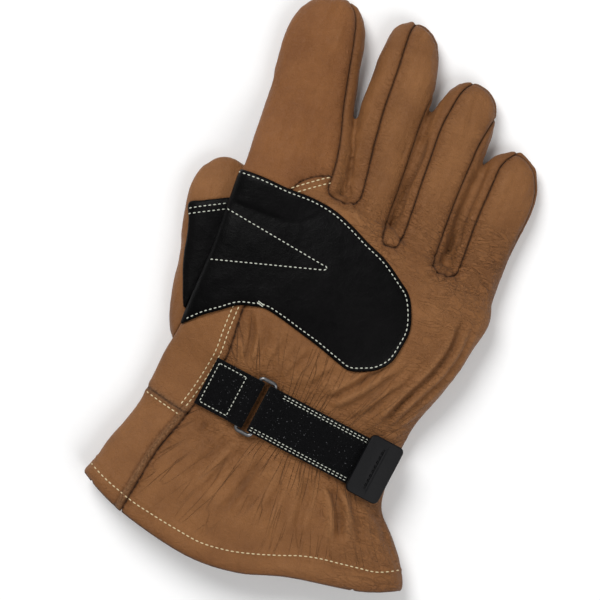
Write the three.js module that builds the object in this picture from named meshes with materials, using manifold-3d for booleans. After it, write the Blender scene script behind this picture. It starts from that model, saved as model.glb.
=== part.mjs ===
// A leather rope glove for the right hand, lying palm down as it rests on a table.
// +Y runs to the fingertips, +X to the little finger and +Z out of the back of the hand. Millimetres.
import * as THREE from 'three';
import { mergeVertices } from 'three/addons/utils/BufferGeometryUtils.js';
import Module from 'manifold-3d';

const wasm = await Module();
wasm.setup();

// Leather and clearances
const leather = 1.8;
const patchLeather = 1.2;
const seamGap = 0.3;
const thumbGap = 0.8;

// Fingers, measured at the knuckle line and from the knuckle line to the tip
const index = { length: 94, width: 48, height: 18 };
const middle = { length: 98, width: 28, height: 19.5 };
const ring = { length: 83, width: 30.5, height: 19 };
const little = { length: 61, width: 29.5, height: 16.5 };
const thumb = { length: 99, width: 34, height: 17 };

// Hand and cuff, measured from the strap across the wrist
const palmWidth = index.width + middle.width + ring.width + little.width;
const wristWidth = 124;
const cuffWidth = 163;
const handLength = 105;
const cuffLength = 75;
const handHeight = 30;
const wristHeight = 22;
const cuffHeight = 27;
const hemDepth = 11.5;
const palmRest = patchLeather + seamGap;

// Where the palm starts at the thumb side, and how much of its width the thumb lifts
const palmLeft = -59.4;
const liftShare = 0.36;
const liftHeight = thumb.height + thumbGap - palmRest;

// The thumb's root against the palm's edge, and its height up the palm as a share of the hand's length
const thumbInset = 2.6;
const thumbRoot = 0.12;

// Wrist strap: tape, wire ring and plastic pull tab
const tape = { width: 25, thickness: 1.5 };
const strap = { x: -14.5, y: 3.5, angle: -8, topLength: 60, underLength: 66, tabLength: 23, seat: 0.6 };
const wire = { diameter: 2, span: 10, clearance: 0.3 };
const pull = { width: 18, length: 30, thickness: 3, corner: 2.5, overlap: 6, slotLength: 22, slotWidth: 1.2 };

// Gathers that the strap draws into the wrist, how far they run from it, and how they sway
const gathers = { count: 15, height: 1.6, start: 5, handReach: 17, cuffReach: 30, sway: 1.4, swing: 9 };

// A crease: its width and height, and the shares of its two low banks and of the valley between them
const crease = { width: 5, height: 2, bank: 0.8, steepness: 2.2, valley: 0.45 };

// Slits between the fingers start this far above the knuckle line, and a fourchette's foot is this round
const slitStart = 8;
const footRound = 5;

// Heights between which the pieces are cut out
const underAll = -20;
const overAll = 80;

// Sections of the cuff, the wrist and the palm, from the rim up to the knuckles. up is a share of the cuff's
// length below the strap or of the hand's above it, left and right are shares of the width from the middle,
// top and rest the highest and lowest points as shares of the height and of the palm patch, lift the share
// of the thumb that raises the thumb side, slant the section's rise from the thumb side to the little finger.
const cuffRows = [
  { up: -1.04, left: -0.525, right: 0.515, top: 1.00 },
  { up: -0.80, left: -0.509, right: 0.503, top: 1.00 },
  { up: -0.62, left: -0.483, right: 0.477, top: 1.00 },
  { up: -0.46, left: -0.463, right: 0.425, top: 0.95 },
];
const wristRows = [
  { up: -0.32, left: -0.576, right: 0.483, top: 1.10 },
  { up: -0.19, left: -0.550, right: 0.465, top: 1.03 },
  { up: 0, left: -0.536, right: 0.465, top: 1.00 },
  { up: 0.13, left: -0.524, right: 0.478, top: 1.04, rest: 0.5, lift: 0.12 },
];
const palmRows = [
  { up: 0.23, left: -0.461, right: 0.450, top: 0.87, rest: 1, lift: 0.34 },
  { up: 0.36, left: -0.449, right: 0.491, top: 0.95, rest: 1, lift: 0.64 },
  { up: 0.51, left: -0.437, right: 0.524, top: 1.00, rest: 1, lift: 0.90, slant: -0.03 },
  { up: 0.67, left: -0.434, right: 0.545, top: 1.00, rest: 1, lift: 1.00, slant: -0.10 },
  { up: 0.82, left: -0.436, right: 0.562, top: 0.96, rest: 1, lift: 1.00, slant: -0.19 },
  { up: 0.93, left: -0.434, right: 0.566, top: 0.89, rest: 1, lift: 0.97, slant: -0.25 },
  { up: 1.00, left: -0.424, right: 0.550, top: 0.80, rest: 2, lift: 0.90, slant: -0.27 },
  { up: 1.03, left: -0.400, right: 0.520, top: 0.60, rest: 3.5, lift: 0.60, slant: -0.27 },
];

// Sections of each finger. along is a share of its length from the knuckle line, left and right are
// shares of its width from its middle, top and rest shares of its height.
const indexRows = [
  { along: -0.16, left: -0.49, right: 0.44, top: 1.56, rest: 1.00 },
  { along: -0.02, left: -0.50, right: 0.47, top: 1.60, rest: 0.96 },
  { along: 0.08, left: -0.50, right: 0.49, top: 1.53, rest: 0.76 },
  { along: 0.18, left: -0.505, right: 0.49, top: 1.37, rest: 0.46 },
  { along: 0.33, left: -0.515, right: 0.435, top: 1.14, rest: 0.16 },
  { along: 0.48, left: -0.53, right: 0.35, top: 1.03, rest: 0 },
  { along: 0.63, left: -0.56, right: 0.29, top: 1.00, rest: 0 },
  { along: 0.77, left: -0.575, right: 0.23, top: 0.97, rest: 0 },
  { along: 0.88, left: -0.52, right: 0.17, top: 0.88, rest: 0.01 },
  { along: 0.95, left: -0.41, right: 0.10, top: 0.76, rest: 0.07 },
  { along: 0.985, left: -0.27, right: 0.02, top: 0.64, rest: 0.17 },
  { along: 1.00, left: -0.17, right: -0.07, top: 0.52, rest: 0.29 },
];
const middleRows = [
  { along: -0.22, left: -0.42, right: 0.46, top: 1.20, rest: 0.14 },
  { along: -0.02, left: -0.45, right: 0.48, top: 1.17, rest: 0.08 },
  { along: 0.16, left: -0.48, right: 0.48, top: 1.08, rest: 0 },
  { along: 0.30, left: -0.59, right: 0.48, top: 1.02, rest: 0 },
  { along: 0.44, left: -0.65, right: 0.47, top: 1.00, rest: 0 },
  { along: 0.57, left: -0.69, right: 0.455, top: 1.00, rest: 0 },
  { along: 0.72, left: -0.67, right: 0.42, top: 0.98, rest: 0 },
  { along: 0.85, left: -0.65, right: 0.33, top: 0.90, rest: 0.01 },
  { along: 0.93, left: -0.60, right: 0.21, top: 0.79, rest: 0.06 },
  { along: 0.975, left: -0.50, right: 0.06, top: 0.66, rest: 0.16 },
  { along: 1.00, left: -0.36, right: -0.10, top: 0.54, rest: 0.28 },
];
const ringRows = [
  { along: -0.25, left: -0.45, right: 0.45, top: 1.20, rest: 0.12 },
  { along: -0.02, left: -0.47, right: 0.46, top: 1.15, rest: 0.06 },
  { along: 0.17, left: -0.485, right: 0.47, top: 1.05, rest: 0 },
  { along: 0.35, left: -0.50, right: 0.475, top: 1.00, rest: 0 },
  { along: 0.52, left: -0.515, right: 0.51, top: 1.00, rest: 0 },
  { along: 0.68, left: -0.53, right: 0.53, top: 0.99, rest: 0 },
  { along: 0.80, left: -0.46, right: 0.51, top: 0.94, rest: 0 },
  { along: 0.89, left: -0.39, right: 0.46, top: 0.84, rest: 0.03 },
  { along: 0.95, left: -0.29, right: 0.36, top: 0.73, rest: 0.10 },
  { along: 0.985, left: -0.17, right: 0.22, top: 0.63, rest: 0.19 },
  { along: 1.00, left: -0.06, right: 0.09, top: 0.53, rest: 0.29 },
];
const littleRows = [
  { along: -0.36, left: -0.46, right: 0.44, top: 1.22, rest: 0.14 },
  { along: -0.02, left: -0.48, right: 0.46, top: 1.15, rest: 0.06 },
  { along: 0.18, left: -0.49, right: 0.47, top: 1.06, rest: 0 },
  { along: 0.36, left: -0.50, right: 0.51, top: 1.00, rest: 0 },
  { along: 0.54, left: -0.49, right: 0.56, top: 1.00, rest: 0 },
  { along: 0.70, left: -0.455, right: 0.56, top: 0.97, rest: 0 },
  { along: 0.83, left: -0.41, right: 0.49, top: 0.88, rest: 0.02 },
  { along: 0.92, left: -0.28, right: 0.38, top: 0.76, rest: 0.08 },
  { along: 0.975, left: -0.12, right: 0.22, top: 0.64, rest: 0.18 },
  { along: 1.00, left: -0.01, right: 0.09, top: 0.53, rest: 0.29 },
];
const thumbRows = [
  { along: 0.00, left: 0.14, right: 0.46, top: 0.86, rest: 0.14 },
  { along: 0.10, left: -0.10, right: 0.52, top: 0.98, rest: 0.02 },
  { along: 0.22, left: -0.24, right: 0.57, top: 1.00, rest: 0 },
  { along: 0.36, left: -0.32, right: 0.58, top: 1.00, rest: 0 },
  { along: 0.50, left: -0.38, right: 0.56, top: 1.00, rest: 0 },
  { along: 0.65, left: -0.50, right: 0.49, top: 1.00, rest: 0 },
  { along: 0.79, left: -0.555, right: 0.45, top: 0.98, rest: 0 },
  { along: 0.90, left: -0.50, right: 0.37, top: 0.88, rest: 0.02 },
  { along: 0.965, left: -0.38, right: 0.22, top: 0.74, rest: 0.09 },
  { along: 0.99, left: -0.27, right: 0.06, top: 0.63, rest: 0.19 },
  { along: 1.00, left: -0.18, right: -0.04, top: 0.53, rest: 0.29 },
];

// Main creases in the back: from and to as shares of the palm width across and of the hand's length up (the
// cuff's length where below the strap), with the width and height of each as shares of a crease's
const creases = [
  { x1: 0.32, y1: 0.17, x2: 0.38, y2: 0.36, wide: 1.0, high: 1.1 },
  { x1: 0.38, y1: 0.36, x2: 0.45, y2: 0.62, wide: 1.0, high: 0.9 },
  { x1: 0.12, y1: 0.22, x2: 0.25, y2: 0.42, wide: 0.9, high: 0.8 },
  { x1: -0.25, y1: 0.46, x2: -0.19, y2: 0.25, wide: 0.9, high: 0.8 },
  { x1: 0.22, y1: -0.22, x2: 0.33, y2: -0.56, wide: 1.1, high: 1.2 },
  { x1: 0.13, y1: -0.24, x2: 0.15, y2: -0.48, wide: 1.0, high: 0.9 },
  { x1: -0.18, y1: -0.24, x2: -0.24, y2: -0.52, wide: 1.0, high: 0.9 },
];

// The rim of the cuff, from the thumb side round to the little finger: shares of the cuff's width and length
const rim = [
  { across: -0.56, down: 0.66 },
  { across: -0.50, down: 0.73 },
  { across: -0.36, down: 0.87 },
  { across: -0.14, down: 0.99 },
  { across: 0.02, down: 0.985 },
  { across: 0.17, down: 0.90 },
  { across: 0.38, down: 0.835 },
  { across: 0.50, down: 0.75 },
  { across: 0.56, down: 0.70 },
];

// Seam between the back and the panel that wraps the thumb side, from the rim up and along the foot
// of the index finger: shares of the palm width across and of the hand (below the strap, cuff) length up
const backSeam = [
  { across: -0.450, up: -1.10 },
  { across: -0.385, up: -0.46 },
  { across: -0.335, up: -0.20 },
  { across: -0.290, up: 0.04 },
  { across: -0.262, up: 0.20 },
  { across: -0.266, up: 0.45 },
  { across: -0.250, up: 0.84 },
  { across: -0.235, up: 1.02 },
  { across: -0.185, up: 1.08 },
  { across: -0.105, up: 1.115 },
];

// The seam across the wrist at the thumb side and at its inner end, as shares of the cuff's length, with the
// inner end's place as a share of the palm width
const crossSeam = { side: -0.07, back: -0.145, across: -0.34 };

// Heights of the seam between back and palm, and of the back's edge where the thumb lifts it, and the depth
// below the slits of the seams at the feet of the middle and ring fingers
const seamHeight = 10;
const liftedSeam = 18;
const frontFoot = 6;
const frontSlope = 2;

// How far each fourchette's seams lie in from the facing edges of its two fingers, as shares of their
// widths, and the depth of its foot below the knuckle line as a share of the hand's length
const forks = [
  { name: 'fourchette_index_middle', near: 0.12, far: 0.34, foot: -0.03 },
  { name: 'fourchette_middle_ring', near: 0.06, far: 0.17, foot: 0.05 },
  { name: 'fourchette_ring_little', near: 0.14, far: 0.24, foot: 0.06 },
];

// Outlines of the black patches as shares of the palm width and hand length
const backPatchEdge = [
  [-0.47, 1.03], [-0.35, 1.025], [-0.22, 1.015], [-0.08, 1.00], [0.065, 0.915], [0.18, 0.825], [0.26, 0.75],
  [0.297, 0.66], [0.302, 0.58], [0.285, 0.50], [0.247, 0.415], [0.20, 0.365], [0.15, 0.345], [0.095, 0.365],
  [0.02, 0.405], [-0.06, 0.435], [-0.14, 0.465], [-0.20, 0.475], [-0.28, 0.445], [-0.36, 0.375],
  [-0.47, 0.29],
];
const palmPatchEdge = [
  [-0.18, 0.95], [0.02, 0.94], [0.20, 0.88], [0.36, 0.80], [0.46, 0.73], [0.475, 0.62], [0.40, 0.53],
  [0.25, 0.44], [0.08, 0.36], [-0.08, 0.34], [-0.20, 0.42], [-0.245, 0.62], [-0.23, 0.84],
];
const thumbPatchEdge = [
  [-0.70, 0.20], [-0.33, 0.24], [0.20, 0.28], [0.60, 0.30], [0.60, 0.74], [0.20, 0.81], [-0.10, 0.78],
  [-0.44, 0.74], [-0.42, 0.62], [-0.30, 0.45], [-0.20, 0.30],
];

// Heights where the patches' skins are cut from the other side of the glove
const backPatchFoot = 18.6;
const palmPatchTop = 9;
const thumbPatchFoot = 6.8;

// Points nearer than this are one point
const finest = 0.001;

// Shape of a section: how square its oval is, the share of its underside that lies flat, the height of its
// sides as a share of its own, and the middle that a slanted section turns about as a share of the palm width
const squareness = 2.5;
const flatShare = 0.88;
const sideShare = 0.42;
const slantMiddle = 0.065;

// The knuckle line at the index finger above the palm's length, and its fall towards the little finger
const knuckleRise = 3;
const knuckleFall = 0.077;

// Facets: along and around a skin, fine on the outside and plain inside
const fine = { body: [24, 24, 6], finger: [9, 8, 5] };
const plain = { body: [14, 9, 4], finger: [8, 7, 3] };

// One curve through a column of a table, read by its share along the table
function column(rows, name, share) {
  const points = rows.map((row, i) => new THREE.Vector2(i, row[name]));
  return new THREE.SplineCurve(points).getPoint(share).y;
}

// Widths and heights run in smooth curves between the sections, and the underside in straight lines
function rowAt(rows, share) {
  const row = { rest: straight(rows, 'rest', share), lift: straight(rows, 'lift', share) };
  for (const name of ['y', 'left', 'right', 'top', 'slant']) row[name] = column(rows, name, share);
  return row;
}

function straight(rows, name, share) {
  const place = share * (rows.length - 1);
  const first = Math.min(Math.floor(place), rows.length - 2);
  return THREE.MathUtils.lerp(rows[first][name], rows[first + 1][name], place - first);
}

function fade(share) {
  const rest = THREE.MathUtils.clamp(1 - share, 0, 1);
  return rest * rest * (3 - 2 * rest);
}

function power(value, exponent) {
  return Math.sign(value) * Math.abs(value) ** exponent;
}

// How far a place lies up the hand from the strap's middle line, or below it
function fromStrap(x, y) {
  const turn = THREE.MathUtils.degToRad(strap.angle);
  return (y - strap.y) * Math.cos(turn) - (x - strap.x) * Math.sin(turn);
}

// The leather lies flat under the tape, and folds start beside it
function besideStrap(off) {
  return THREE.MathUtils.clamp((Math.abs(off) - tape.width / 2 - gathers.start) / gathers.start, 0, 1);
}

// A crease is a narrow valley between two low banks, read by the distance from its line over its width
function creaseShape(off) {
  const bank = crease.bank * Math.exp(-((crease.steepness * (off - 1)) ** 2));
  return bank - crease.valley * Math.exp(-((crease.steepness * off) ** 2));
}

// Gathers stand proud of the leather, and creases cross it
function relief(x, y, row) {
  const share = (x - row.left) / (row.right - row.left);
  const wave = Math.cos(2 * Math.PI * gathers.count * share + gathers.sway * Math.sin(gathers.swing * share));
  const off = fromStrap(x, y);
  const reach = off > 0 ? gathers.handReach : gathers.cuffReach;
  let height = gathers.height * Math.exp(-((off / (tape.width / 2 + reach)) ** 4)) * (0.5 + 0.5 * wave);
  const spot = new THREE.Vector3(x, y, 0);
  for (const fold of creases) {
    const from = new THREE.Vector3(fold.x1 * palmWidth, upFrom(fold.y1), 0);
    const to = new THREE.Vector3(fold.x2 * palmWidth, upFrom(fold.y2), 0);
    const near = new THREE.Line3(from, to).closestPointToPoint(spot, true, new THREE.Vector3());
    height += crease.height * fold.high * creaseShape(near.distanceTo(spot) / (crease.width * fold.wide));
  }
  return Math.max(height, -leather / 2) * besideStrap(off);
}

function upFrom(share) {
  return share * (share < 0 ? cuffLength : handLength);
}

// A point of a section: a squared oval, flattened underneath, raised at the thumb side by its lift
function sectionPoint(row, angle, radius, grow, folded) {
  const across = radius * power(Math.cos(angle), 2 / squareness);
  const up = radius * power(Math.sin(angle), 2 / squareness);
  const share = (across + 1) / 2;
  const x = THREE.MathUtils.lerp(row.left - grow, row.right + grow, share);
  const raised = row.lift * liftHeight * fade(share / liftShare);
  const rest = row.rest + raised;
  const side = rest + sideShare * (row.top - rest);
  const y = row.y + row.slant * (x - slantMiddle * palmWidth);
  if (up <= 0) {
    const low = Math.max(up / flatShare, -1);
    return new THREE.Vector3(x, y, side + (side - rest + grow) * low);
  }
  const folds = folded ? relief(x, y, row) * Math.sqrt(up) : 0;
  return new THREE.Vector3(x, y, side + (row.top + grow - side) * up + folds);
}

// A closed skin through a table of sections, shaped from a cylinder whose length runs along +Y
function loft(rows, [stations, topSides, underSides], grow, tipGrow, folded) {
  const sides = topSides + underSides;
  const tube = new THREE.CylinderGeometry(1, 1, 1, sides, stations, false, Math.PI / 2);
  tube.deleteAttribute('normal');
  tube.deleteAttribute('uv');
  const skin = mergeVertices(tube);
  const spots = skin.attributes.position;
  for (let i = 0; i < spots.count; i += 1) {
    const along = spots.getY(i) + 0.5;
    const turn = Math.atan2(spots.getZ(i), spots.getX(i));
    const step = Math.round((((turn / (2 * Math.PI)) + 1) % 1) * sides) % sides;
    const halfTurns = step <= topSides ? step / topSides : 1 + (step - topSides) / underSides;
    const radius = Math.min(Math.hypot(spots.getX(i), spots.getZ(i)), 1);
    const rounded = radius < 0.5 ? 0 : 1;
    const point = sectionPoint(rowAt(rows, along), halfTurns * Math.PI, rounded, grow, folded);
    point.y += tipGrow * along ** 8;
    spots.setXYZ(i, point.x, point.y, point.z);
  }
  return skin;
}

// Tables of shares turned into places
function zoneRows(rows, width, height) {
  return rows.map((row) => ({
    y: upFrom(row.up),
    left: row.left * width,
    right: row.right * width,
    top: row.top * height,
    rest: (row.rest ?? 0) * palmRest,
    lift: row.lift ?? 0,
    slant: row.slant ?? 0,
  }));
}

function fingerRows(rows, finger, x, y) {
  return rows.map((row) => ({
    y: y + row.along * finger.length,
    left: x + row.left * finger.width,
    right: x + row.right * finger.width,
    top: row.top * finger.height,
    rest: row.rest * finger.height,
    lift: 0,
    slant: 0,
  }));
}

const handRows = [
  ...zoneRows(cuffRows, cuffWidth, cuffHeight),
  ...zoneRows(wristRows, wristWidth, wristHeight),
  ...zoneRows(palmRows, palmWidth, handHeight),
];

function solid(geometry) {
  const bare = geometry.index ? geometry : mergeVertices(stripped(geometry));
  const vertProperties = new Float32Array(bare.attributes.position.array);
  const triVerts = new Uint32Array(bare.index.array);
  return new wasm.Manifold(new wasm.Mesh({ numProp: 3, vertProperties, triVerts }));
}

function stripped(geometry) {
  geometry.deleteAttribute('normal');
  geometry.deleteAttribute('uv');
  return geometry;
}

function toGeometry(body) {
  const mesh = body.getMesh();
  const geometry = new THREE.BufferGeometry();
  geometry.setAttribute('position', new THREE.BufferAttribute(new Float32Array(mesh.vertProperties), 3));
  geometry.setIndex(new THREE.BufferAttribute(new Uint32Array(mesh.triVerts), 1));
  geometry.computeVertexNormals();
  return geometry;
}

// A tall block with the outline of a flat shape, between two heights
function prism(points, low = underAll, high = overAll) {
  const shape = new THREE.Shape(points);
  const block = new THREE.ExtrudeGeometry(shape, { depth: high - low, bevelEnabled: false });
  return solid(block.translate(0, 0, low));
}

// An outline drawn in or out by a distance
function inset(points, distance) {
  const turn = THREE.ShapeUtils.area(points) > 0 ? 1 : -1;
  return points.map((point, i) => {
    const before = points[(i + points.length - 1) % points.length];
    const after = points[(i + 1) % points.length];
    const first = new THREE.Vector2().subVectors(point, before).normalize();
    const second = new THREE.Vector2().subVectors(after, point).normalize();
    const inward = new THREE.Vector2(-first.y - second.y, first.x + second.x);
    inward.normalize().multiplyScalar(turn);
    const lean = Math.max(inward.dot(new THREE.Vector2(-first.y, first.x).multiplyScalar(turn)), 0.4);
    return point.clone().addScaledVector(inward, distance / lean);
  });
}

// A smooth closed outline through a table of shares across and up
function smoothOutline(edge, toX, toY, count) {
  const points = edge.map(([across, up]) => new THREE.Vector3(toX(across), toY(up), 0));
  const curve = new THREE.CatmullRomCurve3(points, true, 'centripetal');
  return curve.getPoints(count).slice(0, -1).map((point) => new THREE.Vector2(point.x, point.y));
}

// Places of the fingers, side by side from the thumb side, on a knuckle line that falls to the little finger
const fingers = [
  { size: index, rows: indexRows },
  { size: middle, rows: middleRows },
  { size: ring, rows: ringRows },
  { size: little, rows: littleRows },
];
let edge = palmLeft;
for (const finger of fingers) {
  finger.x = edge + finger.size.width / 2;
  finger.y = handLength + knuckleRise - knuckleFall * (finger.x - fingers[0].x);
  finger.table = fingerRows(finger.rows, finger.size, finger.x, finger.y);
  edge += finger.size.width;
}
const thumbX = palmLeft - thumbInset;
const thumbY = thumbRoot * handLength;
const thumbTable = fingerRows(thumbRows, thumb, thumbX, thumbY);

// The skin of the hand and fingers, grown or drawn in by a distance
function handSkin(grow, facets) {
  const hand = solid(loft(handRows, facets.body, grow, 0, facets === fine));
  return fingers.reduce((skin, finger) => skin.add(fingerSkin(finger.table, grow, facets)), hand);
}

function fingerSkin(table, grow, facets) {
  return solid(loft(table, facets.finger, grow, grow));
}

const outer = handSkin(0, fine);
const cover = handSkin(seamGap, fine);
const cavity = handSkin(-leather, plain);
const thumbHollow = fingerSkin(thumbTable, -leather, plain);

// The hem is the same leather folded inside the mouth, so the wall is double there
const rimPoints = rim.map((row) => new THREE.Vector2(row.across * cuffWidth, -row.down * cuffLength));
const rimLine = new THREE.SplineCurve(rimPoints).getPoints(14);
const far = 2 * cuffWidth;
const pastLine = (line, rise) => prism([
  ...line.map((point) => new THREE.Vector2(point.x, point.y + rise)),
  new THREE.Vector2(far, -far), new THREE.Vector2(-far, -far),
]);
const mouth = handSkin(-2 * leather, plain).intersect(pastLine(rimLine, hemDepth));
const hollow = cavity.subtract(pastLine(rimLine, hemDepth)).add(mouth);
const shell = outer.subtract(hollow).subtract(thumbHollow).subtract(pastLine(rimLine, 0));

// The edge of a finger that faces a slit, drawn in by a share of the finger's width
function edgeLine(finger, side, insetShare) {
  const line = [];
  for (let i = 0; i <= 6; i += 1) {
    const row = rowAt(finger.table, THREE.MathUtils.lerp(0.2, 1, i / 6));
    const drawn = insetShare * (row.right - row.left);
    line.push(new THREE.Vector2(side === 'right' ? row.right - drawn : row.left + drawn, row.y));
  }
  return line;
}

function slitLine(near, farther) {
  const down = edgeLine(farther, 'left', 0);
  return edgeLine(near, 'right', 0).map((point, i) => point.lerp(down[i], 0.5));
}

// A fourchette's outline: up one seam, across past the tips, down the other seam and round its foot
function forkOutline(near, farther, fork) {
  const up = edgeLine(near, 'right', fork.near);
  const down = edgeLine(farther, 'left', fork.far);
  const top = Math.max(up.at(-1).y, down.at(-1).y) + 4 * leather;
  const knuckle = (near.y + farther.y) / 2;
  const foot = new THREE.Vector2((up[0].x + down[0].x) / 2, knuckle - fork.foot * handLength);
  const elbow = (point) => point.clone().lerp(foot, 0.4).setY(foot.y + 0.4 * footRound);
  const above = (point) => point.y > foot.y + footRound;
  return [
    foot, elbow(down[0]), ...down.filter(above), new THREE.Vector2(down.at(-1).x, top),
    new THREE.Vector2(up.at(-1).x, top), ...up.filter(above).reverse(), elbow(up[0]),
  ];
}

const pieces = {};
let rest = shell;

// A cut can leave crumbs where two skins meet, and only the piece itself is kept
function largest(body) {
  return body.decompose().reduce((best, part) => (part.volume() > best.volume() ? part : best));
}

// A piece is cut out of what is left of the glove along its seams, with the gap of a seam all round
function cutOut(name, blockWithGap) {
  pieces[name] = largest(rest.intersect(blockWithGap(seamGap)));
  rest = rest.subtract(blockWithGap(-seamGap));
}

function between(outline, low, high, gap) {
  return prism(inset(outline, gap / 2), low + gap / 2, high - gap / 2);
}

forks.forEach((fork, i) => {
  const outline = forkOutline(fingers[i], fingers[i + 1], fork);
  cutOut(fork.name, (gap) => between(outline, underAll, overAll, gap));
});

// The back lies above the seam round the little finger's edge and above the part that the thumb lifts
const corner = (x, y) => new THREE.Vector2(x, y);
const slits = forks.map((fork, i) => {
  const line = slitLine(fingers[i], fingers[i + 1]);
  return line.filter((point) => point.y > handLength + slitStart);
});
const tipLine = handLength + 1.4 * middle.length;
const backEdge = [
  ...backSeam.map((row) => corner(row.across * palmWidth, upFrom(row.up))),
  ...slits[0], corner(slits[0].at(-1).x, tipLine), corner(far, tipLine),
  corner(far, -far), corner(backSeam[0].across * palmWidth, -far),
];
const liftedSide = [corner(-far, -far), corner(0, -far), corner(0, handLength), corner(-far, handLength)];
const backBlock = (gap) => between(backEdge, seamHeight, overAll, gap)
  .subtract(prism(liftedSide, underAll, liftedSeam + gap / 2));
cutOut('back_panel', backBlock);

// Fronts of the middle and ring fingers, from their seams at the foot of each finger
function frontEdge(number) {
  const start = [slits[number - 1][0], slits[number][0]];
  const foot = (start[0].y + start[1].y) / 2 - frontFoot;
  return [
    corner(start[0].x, foot), corner(start[1].x, foot - frontSlope), ...slits[number],
    corner(slits[number].at(-1).x, tipLine), corner(slits[number - 1].at(-1).x, tipLine),
    ...slits[number - 1].slice().reverse(),
  ];
}
for (const [name, number] of [['middle_front', 1], ['ring_front', 2]]) {
  const outline = frontEdge(number);
  cutOut(name, (gap) => between(outline, underAll, seamHeight, gap));
}

// The cuff's front and side are one piece, joined to the palm across the wrist
const cuffEdge = [
  corner(-far, crossSeam.side * cuffLength), corner(palmLeft, crossSeam.side * cuffLength),
  corner(crossSeam.across * palmWidth, crossSeam.back * cuffLength), corner(far, crossSeam.back * cuffLength),
  corner(far, -far), corner(-far, -far),
];
cutOut('cuff_panel', (gap) => between(cuffEdge, underAll, overAll, gap));
pieces.palm_panel = largest(rest);
pieces.thumb = largest(fingerSkin(thumbTable, 0, fine).subtract(thumbHollow).subtract(cover));

// Patches are cut from a skin that lies just proud of the leather under them
const onPalm = (table, count) => smoothOutline(table, (across) => across * palmWidth, upFrom, count);
const patchSkin = handSkin(seamGap + patchLeather, fine).subtract(cover);
pieces.back_patch = largest(patchSkin.intersect(prism(onPalm(backPatchEdge, 38), backPatchFoot)));
pieces.palm_patch = largest(patchSkin.intersect(prism(onPalm(palmPatchEdge, 22), underAll, palmPatchTop)));
const thumbOutline = smoothOutline(
  thumbPatchEdge, (across) => thumbX + across * thumb.width, (up) => thumbY + up * thumb.length, 19,
);
const thumbCover = fingerSkin(thumbTable, seamGap, fine);
pieces.thumb_patch = largest(fingerSkin(thumbTable, seamGap + patchLeather, fine).subtract(thumbCover)
  .subtract(cover).intersect(prism(thumbOutline, thumbPatchFoot)));

// The height of the leather under the strap
function topAt(x, y) {
  let low = 0;
  let high = 1;
  for (let i = 0; i < 20; i += 1) {
    const half = (low + high) / 2;
    if (rowAt(handRows, half).y < y) {
      low = half;
    } else {
      high = half;
    }
  }
  const row = rowAt(handRows, low);
  const across = THREE.MathUtils.clamp((2 * (x - row.left)) / (row.right - row.left) - 1, -1, 1);
  const raised = row.rest + row.lift * liftHeight * fade((across + 1) / 2 / liftShare);
  const side = raised + sideShare * (row.top - raised);
  return side + (row.top - side) * (1 - Math.abs(across) ** squareness) ** (1 / squareness);
}

// A piece drawn flat, s along the strap and h above the leather, swept across it and laid on the wrist
const strapTurn = THREE.MathUtils.degToRad(strap.angle);
function strapPlace(s, t) {
  return corner(
    strap.x + s * Math.cos(strapTurn) - t * Math.sin(strapTurn),
    strap.y + s * Math.sin(strapTurn) + t * Math.cos(strapTurn),
  );
}

function layDown(geometry) {
  const spots = geometry.attributes.position;
  for (let i = 0; i < spots.count; i += 1) {
    const spot = strapPlace(spots.getX(i), -spots.getZ(i));
    spots.setXYZ(i, spot.x, spot.y, topAt(spot.x, spot.y) + spots.getY(i));
  }
  return geometry;
}

function tapeSolid(shape) {
  const width = tape.width;
  const sheet = new THREE.ExtrudeGeometry(shape, { depth: width, bevelEnabled: false, curveSegments: 5 });
  return layDown(sheet.translate(0, 0, -width / 2));
}

// Heights of the tape's two layers and of the wire in its loop
const layer = strap.seat + tape.thickness;
const bar = wire.span / 2 - wire.diameter / 2;
const eye = wire.diameter / 2 + wire.clearance;
const loop = eye + tape.thickness;
const barHeight = strap.seat + loop;
const stepAlong = 6;

function run(path, from, to, height) {
  const count = Math.max(Math.round(Math.abs(to - from) / stepAlong), 1);
  for (let i = 1; i <= count; i += 1) {
    path.lineTo(THREE.MathUtils.lerp(from, to, i / count), height);
  }
}

// The tab: tape folded round the wire's bar and sewn to itself and to the wrist
function strapTab() {
  const shape = new THREE.Shape();
  shape.moveTo(-strap.tabLength - bar, strap.seat);
  run(shape, -strap.tabLength - bar, -bar, strap.seat);
  shape.absarc(-bar, barHeight, loop, -Math.PI / 2, Math.PI / 2, false);
  run(shape, -bar - 2 * loop, -strap.tabLength - bar, strap.seat + 2 * tape.thickness);
  shape.closePath();
  const hole = new THREE.Path();
  hole.absarc(-bar, barHeight, eye, 0, 2 * Math.PI, true);
  shape.holes.push(hole);
  return tapeSolid(shape);
}

// The strap: from the little finger's edge to the ring, round its bar and back over itself
function closureStrap() {
  const shape = new THREE.Shape();
  const over = layer + seamGap;
  shape.moveTo(strap.underLength, strap.seat);
  run(shape, strap.underLength, bar, strap.seat);
  shape.absarc(bar, barHeight, loop, -Math.PI / 2, Math.PI / 2, true);
  run(shape, bar + 2 * loop, strap.topLength, over + tape.thickness);
  shape.lineTo(strap.topLength, over);
  run(shape, strap.topLength, bar + 2 * loop, over);
  shape.absarc(bar, barHeight, eye, Math.PI / 3, -Math.PI / 2, false);
  run(shape, bar + loop, strap.underLength, layer);
  shape.closePath();
  return tapeSolid(shape);
}

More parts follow.
